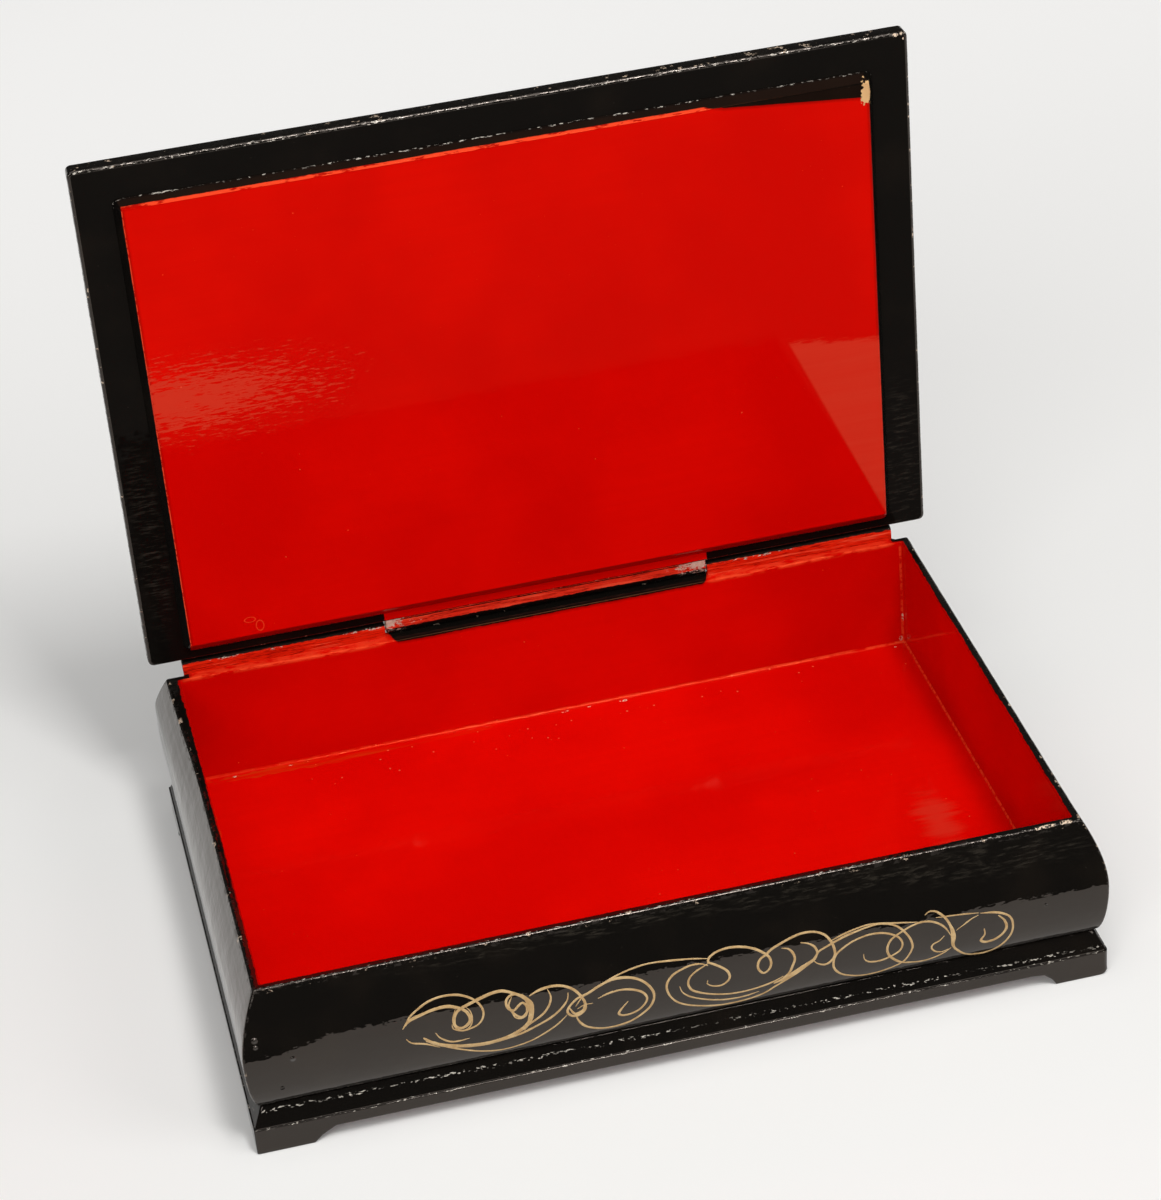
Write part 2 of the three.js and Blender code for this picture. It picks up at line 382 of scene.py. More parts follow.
# The thicker coat on the shoulder of the long walls leans out from the top down. It
# ends at a line that falls from LINE_LEFT to LINE_RIGHT (x, height) and drops at the
# left corner, between two places. The line's waves are a stretch and a reach in mm.
LEAN_TOP = 0.0355
LEAN_REACH = 0.0105
LEAN_SLOPE = 0.343
LINE_LEFT = (-0.070, 0.0284)
LINE_RIGHT = (0.084, 0.0252)
LINE_DROP = (-0.096, -0.072, -0.0032, 0.0)
LINE_WAVES = (((90, 90, 260), 1.1), ((300, 300, 1100), 1.6), ((800, 800, 2600), 1.3))


def thick_shoulder(n, place, height):
    """Normal of a long wall, whose lacquer lies thicker along the foot of the shoulder."""
    x, _, z = n.add("SeparateXYZ", {0: place}).outputs
    share = n.ramp(n.minus(LEAN_TOP, z), 0.0, LEAN_REACH, smooth=False)
    swell = n.times(share, share, LEAN_SLOPE * LEAN_REACH / 2)
    (left, left_height), (right, right_height) = LINE_LEFT, LINE_RIGHT
    line = n.ramp(x, left, right, left_height, right_height, smooth=False)
    line = n.plus(line, n.ramp(x, *LINE_DROP))
    for stretch, wander in LINE_WAVES:
        line = n.plus(line, n.swing(n.strands(place, stretch), wander * MM))
    above = n.ramp(n.minus(z, line), -0.1 * MM, 0.1 * MM)
    thin, thick = n.bump(height), n.bump(n.plus(height, swell))
    made = n.add("Mix", data_type="VECTOR")
    for key, value in (("Factor", above), (4, thin), (5, thick)):
        n.put(made.inputs[key], value)
    return n.vector("NORMALIZE", made.outputs[1])[0]


BLACK = (0.0042, 0.0036, 0.0030)
BLACK_WARM = (0.0095, 0.0070, 0.0050)
RED = (0.74, 0.0024, 0.0003)
RED_DEEP = (0.63, 0.0012, 0.0002)
RED_DARK = (0.22, 0.0010, 0.0004)
RED_LIGHT = (0.86, 0.060, 0.018)
RED_PAINTED_REFLECTION = (0.66, 0.036, 0.016)
RED_BROWNED = (0.55, 0.040, 0.004)
BARE_WOOD = (0.84, 0.55, 0.27)
BARE_WOOD_DARK = (0.60, 0.33, 0.14)
CREAM = (0.80, 0.62, 0.46)
GREY_DUST_AND_SHEEN = (0.026, 0.022, 0.017)
GLINT = (0.60, 0.55, 0.48)
SPECK_ON_RED = (0.86, 0.13, 0.05)
SPECK_ON_BLACK = (0.07, 0.058, 0.046)
GRIT = (0.88, 0.17, 0.08)
HINGE_CRACK = (0.90, 0.12, 0.05)
METAL = (0.50, 0.42, 0.30), (0.90, 0.84, 0.70)
STEEL = (0.32, 0.27, 0.22), (0.66, 0.62, 0.56)
GOLD_PAINT = (0.47, 0.28, 0.105), (0.66, 0.45, 0.21)
GOLD_BRIGHT = (0.80, 0.64, 0.40)
STUDIO_FLOOR = (0.865, 0.855, 0.835), (0.885, 0.875, 0.855)


def lacquer(
    name, streaks, specular, tint, ripple=0.07, ragged=0.28, chips=(), flecks=(), worn=(),
    red_blocks=(), dust_and_sheen=(), nibs=(), painted_reflections=None, loops=(), grit=(), relief=None, brush=0.12,
):
    """Black and red lacquer.

    The mesh's attributes say what lies where. paint is the distance in mm past the
    edge between red and black, above 0 on black. shade is painted shade that darkens
    the red, and light a painted highlight that makes it pale. edge is 1 on arrises,
    where the coat is thin and uneven, with pale dashes that are partly rubbed-through
    wear and partly painted glints, and sparkle is the strength of the fine painted
    glints along the mouldings.

    ripple is the depth of the coat's waves in mm, brush the share of it in brush
    marks, streaks how these are stretched, and ragged how far the edge between red
    and black wanders, in mm. These are lists of (centre, size): chips of bare wood,
    flecks of pale primer, some of which stand for painted glints, worn red gone
    brown, dusty black gone grey, by dust on the front and by a painted sheen on the
    lid, loops of scratched rings and grit of coarse specks. nibs are (centre, radius)
    of lumps and red_blocks (low, high) corners painted red. clouds gives the share of
    red lightened by painted reflections, and relief turns the height of the coat into
    its normal.
    """
    n = Nodes(bpy.data.materials.new(name))
    place = n.place()
    quick, slow = n.swing(n.noise(place, 700, 3), ragged), n.swing(n.noise(place, 90, 1), ragged)
    paint = n.plus(n.attribute("paint"), n.plus(quick, slow))
    for low, high in red_blocks:
        paint = n.minus(paint, n.times(n.block(low, high, 0.3), 40.0))
    is_black = n.ramp(paint, -PAINT_EDGE, PAINT_EDGE)
    brushed = n.scaled(place, streaks)
    marks = n.noise(brushed, 1.0, 4.0, 0.6)

    # Red: cloudy from coat to coat, deeper at the edge of the black
    cloud = n.noise(place, 22, 3)
    red = n.mix(n.ramp(cloud, 0.35, 0.7), RED_DEEP, RED)
    red = n.mix(n.ramp(marks, 0.3, 0.75, 0.0, 0.2), red, RED_DEEP)
    red = n.mix(n.ramp(paint, -1.0, -0.05, 0.0, 0.6), red, RED_DARK)
    # Painted shade, and a painted highlight broken up in streaks on arrises and fillets
    red = n.mix(n.attribute("shade"), red, RED_DARK)
    uneven_share = n.ramp(n.strands(place, (300, 900, 900), 4, 0.6), 0.38, 0.56)
    red = n.mix(n.math("MULTIPLY", n.attribute("light"), uneven_share, clamp=True), red, RED_LIGHT)
    # Painted reflections lighten the red where given
    if painted_reflections is not None:
        red = n.mix(painted_reflections(n, marks), red, RED_PAINTED_REFLECTION)
    for centre, size in loops:
        red = n.mix(n.times(n.ring(centre, size, 0.22), 0.8), red, RED_LIGHT)
    for centre, size in worn:
        uneven_share = n.times(n.spot(centre, size, 0.6, 300.0), n.ramp(marks, 0.4, 0.65, 0.0, 0.7))
        red = n.mix(uneven_share, red, RED_BROWNED)

    black = n.mix(n.ramp(n.noise(place, 60, 3), 0.45, 0.75, 0.0, 0.6), BLACK, BLACK_WARM)
    grains = n.ramp(n.strands(place, (240, 1500, 1500), 4, 0.7), 0.48, 0.70)
    # Dust on the front, and a painted sheen on the lid, grey the black
    for centre, size in dust_and_sheen:
        black = n.mix(n.times(n.ramp(n.fade(centre, size), 0.0, 0.7), grains), black, GREY_DUST_AND_SHEEN)
    colour = n.mix(is_black, red, black)

    # Specks of dust that settled in the last coat, orange on red and grey on black
    patchy = n.ramp(n.noise(place, 30, 2), 0.45, 0.65, 0.99, 0.80)
    speckled = n.mix(is_black, SPECK_ON_RED, SPECK_ON_BLACK)
    for scale, radius, strength in ((330, 0.00019, 0.8), (700, 0.00011, 0.6)):
        lot, distance = n.cells(place, scale)
        chosen = n.math("GREATER_THAN", lot, patchy)
        speck = n.ramp(distance, 0.5 * radius * scale, radius * scale, strength, 0.0)
        colour = n.mix(n.times(speck, chosen), colour, speckled)
    for centre, size in grit:
        lot, distance = n.cells(place, 430)
        chosen = n.math("LESS_THAN", lot, n.ramp(n.fade(centre, size), 0.0, 0.6, 0.0, 0.6))
        reach = n.ramp(n.noise(place, 500, 2), 0.35, 0.65, 0.07, 0.17)
        colour = n.mix(n.times(n.ramp(distance, 0.03, reach, 0.75, 0.0), chosen), colour, GRIT)

    # Arrises: pale dashes, partly rubbed-through wear and partly painted glints, and fine painted
    # glints along the mouldings
    edge = n.attribute("edge")
    dashes = n.strands(place, (320, 320, 700), 4, 0.65)
    wear = n.plus(dashes, n.times(n.minus(edge, 1.0), 0.12))
    rub_and_glint = n.times(n.ramp(edge, 0.55, 0.95), n.ramp(wear, 0.58, 0.64))
    rub_and_glint = n.times(rub_and_glint, n.ramp(n.noise(place, 1500, 2), 0.40, 0.50))
    colour = n.mix(rub_and_glint, colour, n.mix(is_black, RED_LIGHT, CREAM))
    sparkle = n.attribute("sparkle")
    bright = n.strands(place, (900, 2400, 2400), 3, 0.6)
    bright = n.plus(bright, n.times(n.minus(sparkle, 1.0), 0.10))
    bright = n.times(n.ramp(bright, 0.54, 0.60), n.ramp(sparkle, 0.12, 0.30))
    bright = n.times(bright, n.ramp(n.noise(place, 130, 2), 0.40, 0.52, 0.25, 1.0))
    colour = n.mix(bright, colour, GLINT)

    # Chips down to the wood, and flecks down to the primer, some of which are painted glints
    bare = None
    flaky = n.ramp(n.noise(place, 1900, 2), 0.46, 0.54)
    for centre, size in chips:
        chip = n.spot(centre, size, 1.3)
        grain = n.strands(place, (400, 400, 90), 3)
        colour = n.mix(chip, colour, n.mix(grain, BARE_WOOD_DARK, BARE_WOOD))
        bare = chip if bare is None else n.math("MAXIMUM", bare, chip)
    for centre, size in flecks:
        chip = n.times(n.spot(centre, size, 0.6), flaky)
        colour = n.mix(chip, colour, CREAM)
        bare = chip if bare is None else n.math("MAXIMUM", bare, chip)

    # Gloss: nearly even, with duller brush marks and rubbed patches
    gloss = n.ramp(marks, 0.3, 0.8, 0.03, 0.07)
    dull = n.ramp(n.noise(place, 14, 2), 0.5, 0.8, 0.0, 0.03)
    rough = n.plus(gloss, dull, n.times(edge, n.ramp(dashes, 0.40, 0.52, 0.45, 0.0)))
    if bare is not None:
        rough = n.plus(rough, n.times(bare, 0.6))

    # Relief: waves of the thick coat, brush marks, dust and the step at a chip
    height = n.plus(
        orange_peel(n, place, ripple * MM, 210),
        orange_peel(n, place, 0.14 * ripple * MM, 640),
        orange_peel(n, brushed, brush * ripple * MM, 1.0),
        n.times(edge, orange_peel(n, place, 0.10 * MM, 900)),
        dust_nibs(n, place, 120, 0.32 * MM, 0.05 * MM, 0.22),
        dust_nibs(n, place, 290, 0.20 * MM, 0.03 * MM, 0.16),
    )
    for centre, radius in nibs:
        lump = n.ramp(n.fade(centre, (radius, radius, radius)), 0.0, 0.9)
        height = n.plus(height, n.times(lump, 0.45 * radius))
    if bare is not None:
        height = n.minus(height, n.times(bare, 0.10 * MM))
    return n.finish({
        "Base Color": colour, "Roughness": rough, "IOR": 1.5,
        "Specular IOR Level": specular, "Specular Tint": tint,
        "Normal": n.bump(height) if relief is None else relief(n, place, height),
    })


def hinge_finish(name, low, high):
    """Paint on rolled sheet metal, worn to bare metal where the wear attribute is high."""
    n = Nodes(bpy.data.materials.new(name))
    place = n.place()
    ragged, slow = n.swing(n.noise(place, 900, 3), 0.30), n.swing(n.noise(place, 160, 1), 0.25)
    paint = n.plus(n.attribute("paint"), n.plus(ragged, slow))
    is_black = n.ramp(paint, -0.05, 0.05)
    along = n.scaled(place, (600, 1500, 1500))
    rubbing = n.noise(along, 1.0, 5.0, 0.75)
    worn = n.plus(n.attribute("wear"), n.ramp(rubbing, 0.2, 0.8, -1.0, 1.0, smooth=False))
    bare = n.ramp(worn, 0.02, 0.16)
    red = n.mix(n.noise(place, 240, 3), low, high)
    # Cracks and ridges of the coat along the sheet, and dots where it flaked off
    strand = n.strands(place, (60, 1500, 1500), 3, 0.6)
    red = n.mix(n.ramp(strand, 0.55, 0.66, 0.0, 0.8), red, HINGE_CRACK)
    from_crack = n.math("ABSOLUTE", n.minus(strand, 0.47))
    red = n.mix(n.ramp(from_crack, 0.0, 0.03, 0.85, 0.0), red, RED_DARK)
    _, distance = n.cells(n.scaled(place, (900, 1700, 1700)), 1.0)
    dots = n.times(
        n.ramp(distance, 0.22, 0.34, 1.0, 0.0), n.ramp(n.noise(place, 260, 2), 0.40, 0.48),
        n.ramp(n.attribute("wear"), -0.45, -0.15),
    )
    bare = n.math("MAXIMUM", bare, dots)
    colour = n.mix(is_black, red, BLACK)
    metal = n.mix(n.noise(place, 1400, 2), *METAL)
    height = n.plus(orange_peel(n, place, 0.30 * MM, 420), orange_peel(n, along, 0.05 * MM, 1.0))
    height = n.minus(height, n.times(bare, 0.05 * MM))
    dull_metal, dull_black = n.ramp(bare, 0, 1, 0.16, 0.40), n.ramp(is_black, 0, 1, 0.16, 0.5)
    return n.finish({
        "Base Color": n.mix(bare, colour, metal),
        "Metallic": n.times(bare, 0.15),
        "Roughness": n.math("MAXIMUM", dull_metal, dull_black),
        "Specular IOR Level": 0.10, "Specular Tint": (1.0, 0.6, 0.45, 1.0),
        "Normal": n.bump(height),
    })


def wire_finish(name):
    n = Nodes(bpy.data.materials.new(name))
    place = n.place()
    drawn = n.strands(place, (60, 3000, 3000), 3)
    return n.finish({
        "Base Color": n.mix(drawn, *STEEL),
        "Metallic": 1.0,
        "Roughness": n.ramp(drawn, 0, 1, 0.25, 0.45),
        "Normal": n.bump(n.times(drawn, 0.01 * MM)),
    })


def gold_finish(name):
    """Gold paint put on with a fine brush, thin and streaky in places."""
    n = Nodes(bpy.data.materials.new(name))
    place = n.place()
    body = n.noise(place, 420, 4, 0.6)
    fine = n.noise(place, 2600, 2)
    colour = n.mix(n.ramp(body, 0.3, 0.7), *GOLD_PAINT)
    colour = n.mix(n.ramp(fine, 0.55, 0.8, 0.0, 0.5), colour, GOLD_BRIGHT)
    return n.finish({
        "Base Color": colour, "Metallic": 0.15, "Roughness": n.ramp(body, 0, 1, 0.30, 0.5),
        "Specular IOR Level": 0.5,
        "Normal": n.bump(n.times(fine, 0.02 * MM)),
    })


def lid_place(x, y, z):
    """A point of the lid, given closed about the hinge axis, at rest."""
    turn = Matrix.Rotation(-(math.pi / 2 + LID_LEAN), 3, "X")
    return HINGE_AXIS + turn @ Vector((x, y, z))


ALONG_X = (22.0, 520.0, 520.0)
ALONG_Y = (520.0, 22.0, 520.0)
BLACK_TINT = (1.0, 0.86, 0.76, 1.0)
RED_TINT = (1.0, 0.30, 0.10, 1.0)

# Marks are (centre, size) in metres. These grey the black under the front's rim
FRONT_DUST = [
    ((0.070, -0.0650, 0.0365), (0.034, 0.006, 0.0055)),
    ((0.035, -0.0645, 0.0375), (0.040, 0.006, 0.0030)),
    ((-0.02, -0.0640, 0.0385), (0.060, 0.006, 0.0020)),
]
RIM_FLECKS = [
    ((0.0835, -0.0620, 0.0402), (0.0030, 0.0005, 0.0004)),
    ((0.0885, -0.0618, 0.0402), (0.0020, 0.0006, 0.0004)),
]
# Lumps in the lacquer of the front, placed by their pixels in the photograph
FRONT_NIBS = [(on_front(u, v), radius) for u, v, radius in (
    (254.5, 1041, 0.0008), (255.5, 1048, 0.0006), (293, 1059, 0.0008),
    (282.6, 1088, 0.0007), (1046, 905, 0.0005),
)]
WALL_BLACK = {
    "x": lacquer(
        "black_lacquer_long_walls", ALONG_X, 0.6, BLACK_TINT, ripple=0.10,
        dust_and_sheen=FRONT_DUST, flecks=RIM_FLECKS, nibs=FRONT_NIBS, relief=thick_shoulder,
    ),
    "y": lacquer("black_lacquer_end_walls", ALONG_Y, 1.0, BLACK_TINT, ripple=0.16, brush=0.6),
}
PLINTH_BLACK = {
    "x": lacquer("black_lacquer_long_plinth", ALONG_X, 0.6, BLACK_TINT, ripple=0.10),
    "y": lacquer("black_lacquer_end_plinth", ALONG_Y, 0.08, BLACK_TINT, ripple=0.10),
}
# Painted glints, as pale flecks, down the back right corner inside
CORNER_PAINTED_GLINTS = [
    ((0.0890, 0.0604, 0.0122), (0.0005, 0.0004, 0.0007)),
    ((0.0897, 0.0604, 0.0185), (0.0004, 0.0004, 0.0012)),
]
WALL_RED = {
    "x": lacquer(
        "red_lacquer_long_walls", ALONG_X, 0.15, RED_TINT, ripple=0.025, flecks=CORNER_PAINTED_GLINTS,
    ),
    "y": lacquer("red_lacquer_end_walls", ALONG_Y, 0.15, RED_TINT, ripple=0.025),
}


def floor_painted_reflection(n, marks):
    """Painted reflection near the right front corner of the floor."""
    patch = n.fade(Vector((0.0745, -0.0130, FLOOR_HEIGHT)), (0.0065, 0.0150, 0.004))
    return n.ramp(n.plus(patch, n.ramp(marks, 0.2, 0.8, -0.4, 0.4)), 0.1, 0.9, 0.0, 0.6)


FLOOR_RED = lacquer(
    "red_lacquer_floor", ALONG_X, 0.2, RED_TINT, ripple=0.03, painted_reflections=floor_painted_reflection,
    grit=[
        ((-0.030, 0.056, FLOOR_HEIGHT), (0.060, 0.014, 0.004)),
        ((0.030, 0.058, FLOOR_HEIGHT), (0.070, 0.009, 0.004)),
        ((0.084, 0.050, FLOOR_HEIGHT), (0.009, 0.014, 0.004)),
    ],
    worn=[
        ((-0.052, 0.0585, FLOOR_HEIGHT), (0.038, 0.0016, 0.004)),
        ((-0.0885, 0.040, FLOOR_HEIGHT), (0.0010, 0.018, 0.004)),
    ],
    # Pale flecks along the foot of the back wall: primer chips that also stand for painted glints
    # on the fillet
    flecks=[
        ((-0.0807, 0.0592, FLOOR_HEIGHT + 0.0004), (0.0013, 0.0004, 0.0006)),
        ((-0.0670, 0.0593, FLOOR_HEIGHT + 0.0004), (0.0007, 0.0003, 0.0005)),
        ((0.0019, 0.0592, FLOOR_HEIGHT + 0.0004), (0.0015, 0.0004, 0.0006)),
        ((0.0082, 0.0593, FLOOR_HEIGHT + 0.0004), (0.0009, 0.0003, 0.0005)),
        ((0.0169, 0.0590, FLOOR_HEIGHT + 0.0003), (0.0016, 0.0004, 0.0005)),
        ((0.0870, 0.0592, FLOOR_HEIGHT + 0.0004), (0.0006, 0.0004, 0.0006)),
    ],
)
LID_FLECKS = [
    (lid_place(0.0936, LID_FAR + 0.0006, -0.0012), (0.0009, 0.0005, 0.0004)),
    (lid_place(0.0950, LID_FAR + 0.0007, -0.0010), (0.0007, 0.0006, 0.0005)),
    (lid_place(0.0954, LID_FAR + 0.0016, -0.0012), (0.0004, 0.0005, 0.0007)),
]
# Painted sheen that greys the lid's border near the lower ends of its sides
LID_PAINTED_SHEEN = [
    (lid_place(-0.0918, -0.036, LID_INNER), (0.0055, 0.004, 0.034)),
    (lid_place(0.0915, -0.020, LID_INNER), (0.0070, 0.004, 0.030)),
]
# The red paint on the lid's edge above its leaf, as two corners of a block
HINGE_STRIP = (
    Vector((MIDDLE_START - 0.0002, HINGE_AXIS.y - 0.003, HINGE_AXIS.z + 0.0018)),
    Vector((MIDDLE_END + 0.0004, HINGE_AXIS.y + 0.001, HINGE_AXIS.z + 0.0060)),
)
LID_BLACK = lacquer(
    "black_lacquer_lid", ALONG_X, 0.04, BLACK_TINT, ripple=0.16,
    flecks=LID_FLECKS, dust_and_sheen=LID_PAINTED_SHEEN, red_blocks=[HINGE_STRIP],
)
EDGE_BLACK = lacquer(
    "black_lacquer_edges", ALONG_X, 0.6, BLACK_TINT, ripple=0.40, flecks=LID_FLECKS,
)


def panel_painted_reflections(n, marks):
    """Painted reflections on the panel: a sharp-edged patch at its right, streaks at its left."""
    fine = n.strands(n.place(), (260, 260, 1500), 6, 0.7)
    corner = Vector((0.0642, 0.0600, 0.1004))
    edge = n.ramp(n.beyond(corner, (0.917, 0.0, 0.399)), -0.4, 0.4)
    top = n.beyond(corner + Vector((0, 0, 0.0006)), (-0.13, 0.0, -0.99))
    right = n.times(edge, n.ramp(n.plus(top, n.swing(fine, 3.5)), -0.8, 0.8))
    right = n.times(right, n.ramp(marks, 0.2, 0.7, 0.95, 0.7))
    fall = n.fade(Vector((-0.080, 0.0600, 0.1145)), (0.042, 0.02, 0.0115))
    streaked = n.plus(fall, n.ramp(fine, 0.35, 0.65, -0.75, 0.45, smooth=False))
    left = n.ramp(streaked, 0.1, 0.5, 0.0, 0.95)
    return n.math("MAXIMUM", right, left)


PANEL_CHIP = lid_place(0.0853, PANEL_FAR + 0.0041, PANEL_FACE + 0.0002)
PANEL_RED = lacquer(
    "red_lacquer_lid_panel", ALONG_X, 0.07, RED_TINT, ripple=0.02, ragged=0.07,
    chips=[(PANEL_CHIP, (0.0011, 0.0030, 0.0029))], painted_reflections=panel_painted_reflections,
    loops=[
        (lid_place(-0.0714, -0.0116, PANEL_FACE), (0.0013, 0.002, 0.0007)),
        (lid_place(-0.0692, -0.0096, PANEL_FACE), (0.0009, 0.002, 0.0014)),
    ],
)
HINGE_BOX = hinge_finish("hinge_paint_box", (0.70, 0.006, 0.001), (0.84, 0.030, 0.006))
HINGE_LID = hinge_finish("hinge_paint_lid", (0.72, 0.012, 0.004), (0.86, 0.070, 0.028))
WIRE = wire_finish("steel_wire")
GOLD = gold_finish("gold_paint")


# Mesh building

def wobble(point, size, seed):
    """Smooth noise from -1 to 1 at a point, with waves of about the given size."""
    return noise.noise(Vector(point) / size + Vector((seed, 3.7 * seed, -1.3 * seed)))


def add_piece(name, points, faces, materials, body, slot, nodes=(), pick=None, sharp=40, **values):
    """Makes a mesh object with its paint attributes and joins it to a body."""
    mesh = bpy.data.meshes.new(name)
    mesh.from_pydata([tuple(p) for p in points], [], faces)
    for material in materials:
        mesh.materials.append(material)
    if pick is not None:
        mesh.polygons.foreach_set("material_index", pick)
    for key, data in values.items():
        attribute = mesh.attributes.new(key, "FLOAT", "POINT")
        attribute.data.foreach_set("value", np.asarray(data, np.float32))
    mesh.polygons.foreach_set("use_smooth", [True] * len(faces))
    mesh.set_sharp_from_angle(angle=math.radians(sharp))
    mesh.validate()
    mesh.update()
    piece = bpy.data.objects.new(name, mesh)
    bpy.context.scene.collection.objects.link(piece)
    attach(piece, body)
    if nodes:
        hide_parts(*nodes)
    return piece


def mitre_turns(steps):
    """Angles round a mitre, from next to the straight run to its middle."""
    return [math.radians(a) for a in np.linspace(0, 45, steps + 1)[1:]]


def with_turns(shares, turns):
    """Places along a moulding: (share of the half run, angle round the mitre)."""
    straight = [(share, 0.0) for share in shares]
    return [(-1, a) for a in reversed(turns)] + straight + [(1, a) for a in turns]


def tube_faces(rings, size, caps=True):
    """Faces of a loft through closed rings, each of the same number of points."""
    faces = []
    for r in range(rings - 1):
        for k in range(size):
            a = r * size + k
            b = r * size + (k + 1) % size
            faces.append((a, b, b + size, a + size))
    if caps:
        faces.append(tuple(reversed(range(size))))
        faces.append(tuple(range((rings - 1) * size, rings * size)))
    return faces


def arc(cx, cy, rx, ry, start, end, steps):
    """Points on an ellipse, from one angle to another, in degrees."""
    angles = np.radians(np.linspace(start, end, steps + 1))
    return [(cx + rx * math.cos(a), cy + ry * math.sin(a)) for a in angles]


def wall_section():
    """Closed section of a wall: outward, height, corner rounding and girth in mm.

    Girth is the way round the section from the rim's inner edge, above 0 outside.
    """
    rim = RIM_HEIGHT
    inner_round = 0.35 * MM
    inner_top = rim - inner_round
    heights = [FLOOR_HEIGHT + h for h in np.linspace(0, rim - FLOOR_HEIGHT - inner_round, 9)]
    heights += [inner_top - drop * MM for drop in (0.1, 0.45, 0.8)]
    section = [(0, height, INNER_FILLET) for height in sorted(heights)]
    inside = len(section)
    inner_edge = arc(inner_round, inner_top, inner_round, inner_round, 180, 90, 5)
    section += [(*p, RIM_ROUND) for p in inner_edge[1:]]
    # The outer edge of the rim is a round from the flat top to the slope of the shoulder
    shoulder = list(zip(SHOULDER_OUTS[::-3], SHOULDER_HEIGHTS[::-3]))
    slope = math.atan2(shoulder[0][1] - shoulder[1][1], shoulder[1][0] - shoulder[0][0])
    back_off = EDGE_ROUND * math.tan(slope / 2)
    centre = RIM_THICKNESS - back_off
    section += [(inner_round + 0.1 * MM, rim, RIM_ROUND), (centre - 0.1 * MM, rim, RIM_ROUND)]
    turn = 90 - math.degrees(slope)
    outer_edge = arc(centre, rim - EDGE_ROUND, EDGE_ROUND, EDGE_ROUND, 90, turn, 6)
    section += [(*p, RIM_ROUND) for p in outer_edge]
    end_height = section[-1][1]
    section += [(*p, MITRE_ROUND) for p in shoulder if p[1] < end_height - 0.05 * MM]
    belly_angle = math.degrees(math.asin((BULGE_HEIGHT - PLINTH_TOP) / BELLY_DROP))
    belly_out = BULGE_THICKNESS - BELLY_SWELL
    belly = arc(belly_out, BULGE_HEIGHT, BELLY_SWELL, BELLY_DROP, 0, -belly_angle, 16)
    section += [(*p, MITRE_ROUND) for p in belly[1:]]
    section += [
        (PLINTH_SEAT, PLINTH_TOP, 0), (PLINTH_SEAT, FLOOR_BOTTOM, 0),
        (FLOOR_RABBET, FLOOR_BOTTOM, 0), (FLOOR_RABBET, FLOOR_HEIGHT, 0),
    ]
    outward, height, rounding = (np.array(column) for column in zip(*section))
    steps = np.hypot(np.diff(outward), np.diff(height))
    girth = np.concatenate([[0], np.cumsum(steps)]) / MM
    girth -= girth[inside + 2]
    return outward, height, rounding, girth


# Turn of each side about the vertical, half its length and half the span across
SIDES = {
    "front": (0, HALF_LENGTH, HALF_WIDTH),
    "right": (math.pi / 2, HALF_WIDTH, HALF_LENGTH),
    "back": (math.pi, HALF_LENGTH, HALF_WIDTH),
    "left": (-math.pi / 2, HALF_WIDTH, HALF_LENGTH),
}


def mitred_points(side, outward, height, rounding, places, worn_corner=1.0):
    """Rows of points of a moulding that turns the corners with a small round.

    The corner at the front right is rounder than the others by a factor.
    """
    turn, half_run, half_span = SIDES[side]
    rows = []
    for share, angle in places:
        corner = half_run + outward
        rounder = (side, np.sign(share)) in (("front", 1), ("right", -1))
        radius = rounding * (worn_corner if rounder else 1.0)
        run = np.sign(share) * (corner - radius + radius * math.sin(angle))
        if angle == 0:
            run = share * (corner - radius)
        out = outward - radius * (1 - math.cos(angle))
        rows.append(np.stack([run, -(half_span + out), height], axis=1))
    rows = np.array(rows)
    cos, sin = math.cos(turn), math.sin(turn)
    spin = np.array([[cos, -sin, 0], [sin, cos, 0], [0, 0, 1]])
    return rows @ spin.T, rows


def smooth(value):
    """Eases a share between 0 and 1."""
    t = min(1.0, max(0.0, value))
    return t * t * (3 - 2 * t)


def between(value, low, high, reach):
    """1 between two places, falling to 0 within a distance outside them."""
    return smooth((value - low) / reach + 1) * smooth((high - value) / reach + 1)


def back_ledge(outward, height, x):
    """Outward distance on the back wall, whose rim is wider under the hinge."""
    share = between(x, HINGE_START + 1.5 * MM, HINGE_END - 1.5 * MM, 1.2 * MM)
    if height < LEDGE_LOW or outward < 0.9 * MM:
        return outward
    if height > RIM_HEIGHT - 1.3 * EDGE_ROUND:
        return outward + share * (LEDGE - RIM_THICKNESS)
    target = LEDGE + (RIM_HEIGHT - height) / (RIM_HEIGHT - LEDGE_LOW) * (LEDGE_FOOT - LEDGE)
    return outward + share * max(0.0, target - outward)


def back_paint_edge(x):
    """Girth at which the back wall's red ends and its black begins, in mm."""
    leaf = between(x, HINGE_START + 3 * MM, HINGE_END - 2 * MM, 2 * MM)
    middle = between(x, MIDDLE_START + 0.5 * MM, MIDDLE_END - 0.5 * MM, 0.6 * MM)
    return 3.2 * leaf * (1 - middle) - 0.65 * middle


def planed(p):
    """How far the hand-planed moulding is drawn in at a point of its outer face."""
    return (0.09 + 0.04 * wobble(p, 0.045, 2.0) + 0.010 * wobble(p, 0.009, 5.0)) * MM


def fuller_corner(p):
    """How far the shoulder of the left wall stands out towards the back, in metres."""
    outward = -p[0] - HALF_LENGTH
    along = smooth((p[1] - 0.015) / 0.045)
    return FULLER * along * smooth(outward / (1.4 * MM)) * smooth((p[2] - 0.0255) / 0.008)


OUTWARD = {"front": (0, -1, 0.0), "back": (0, 1, 0.0), "left": (-1, 0, 0.0), "right": (1, 0, 0.0)}


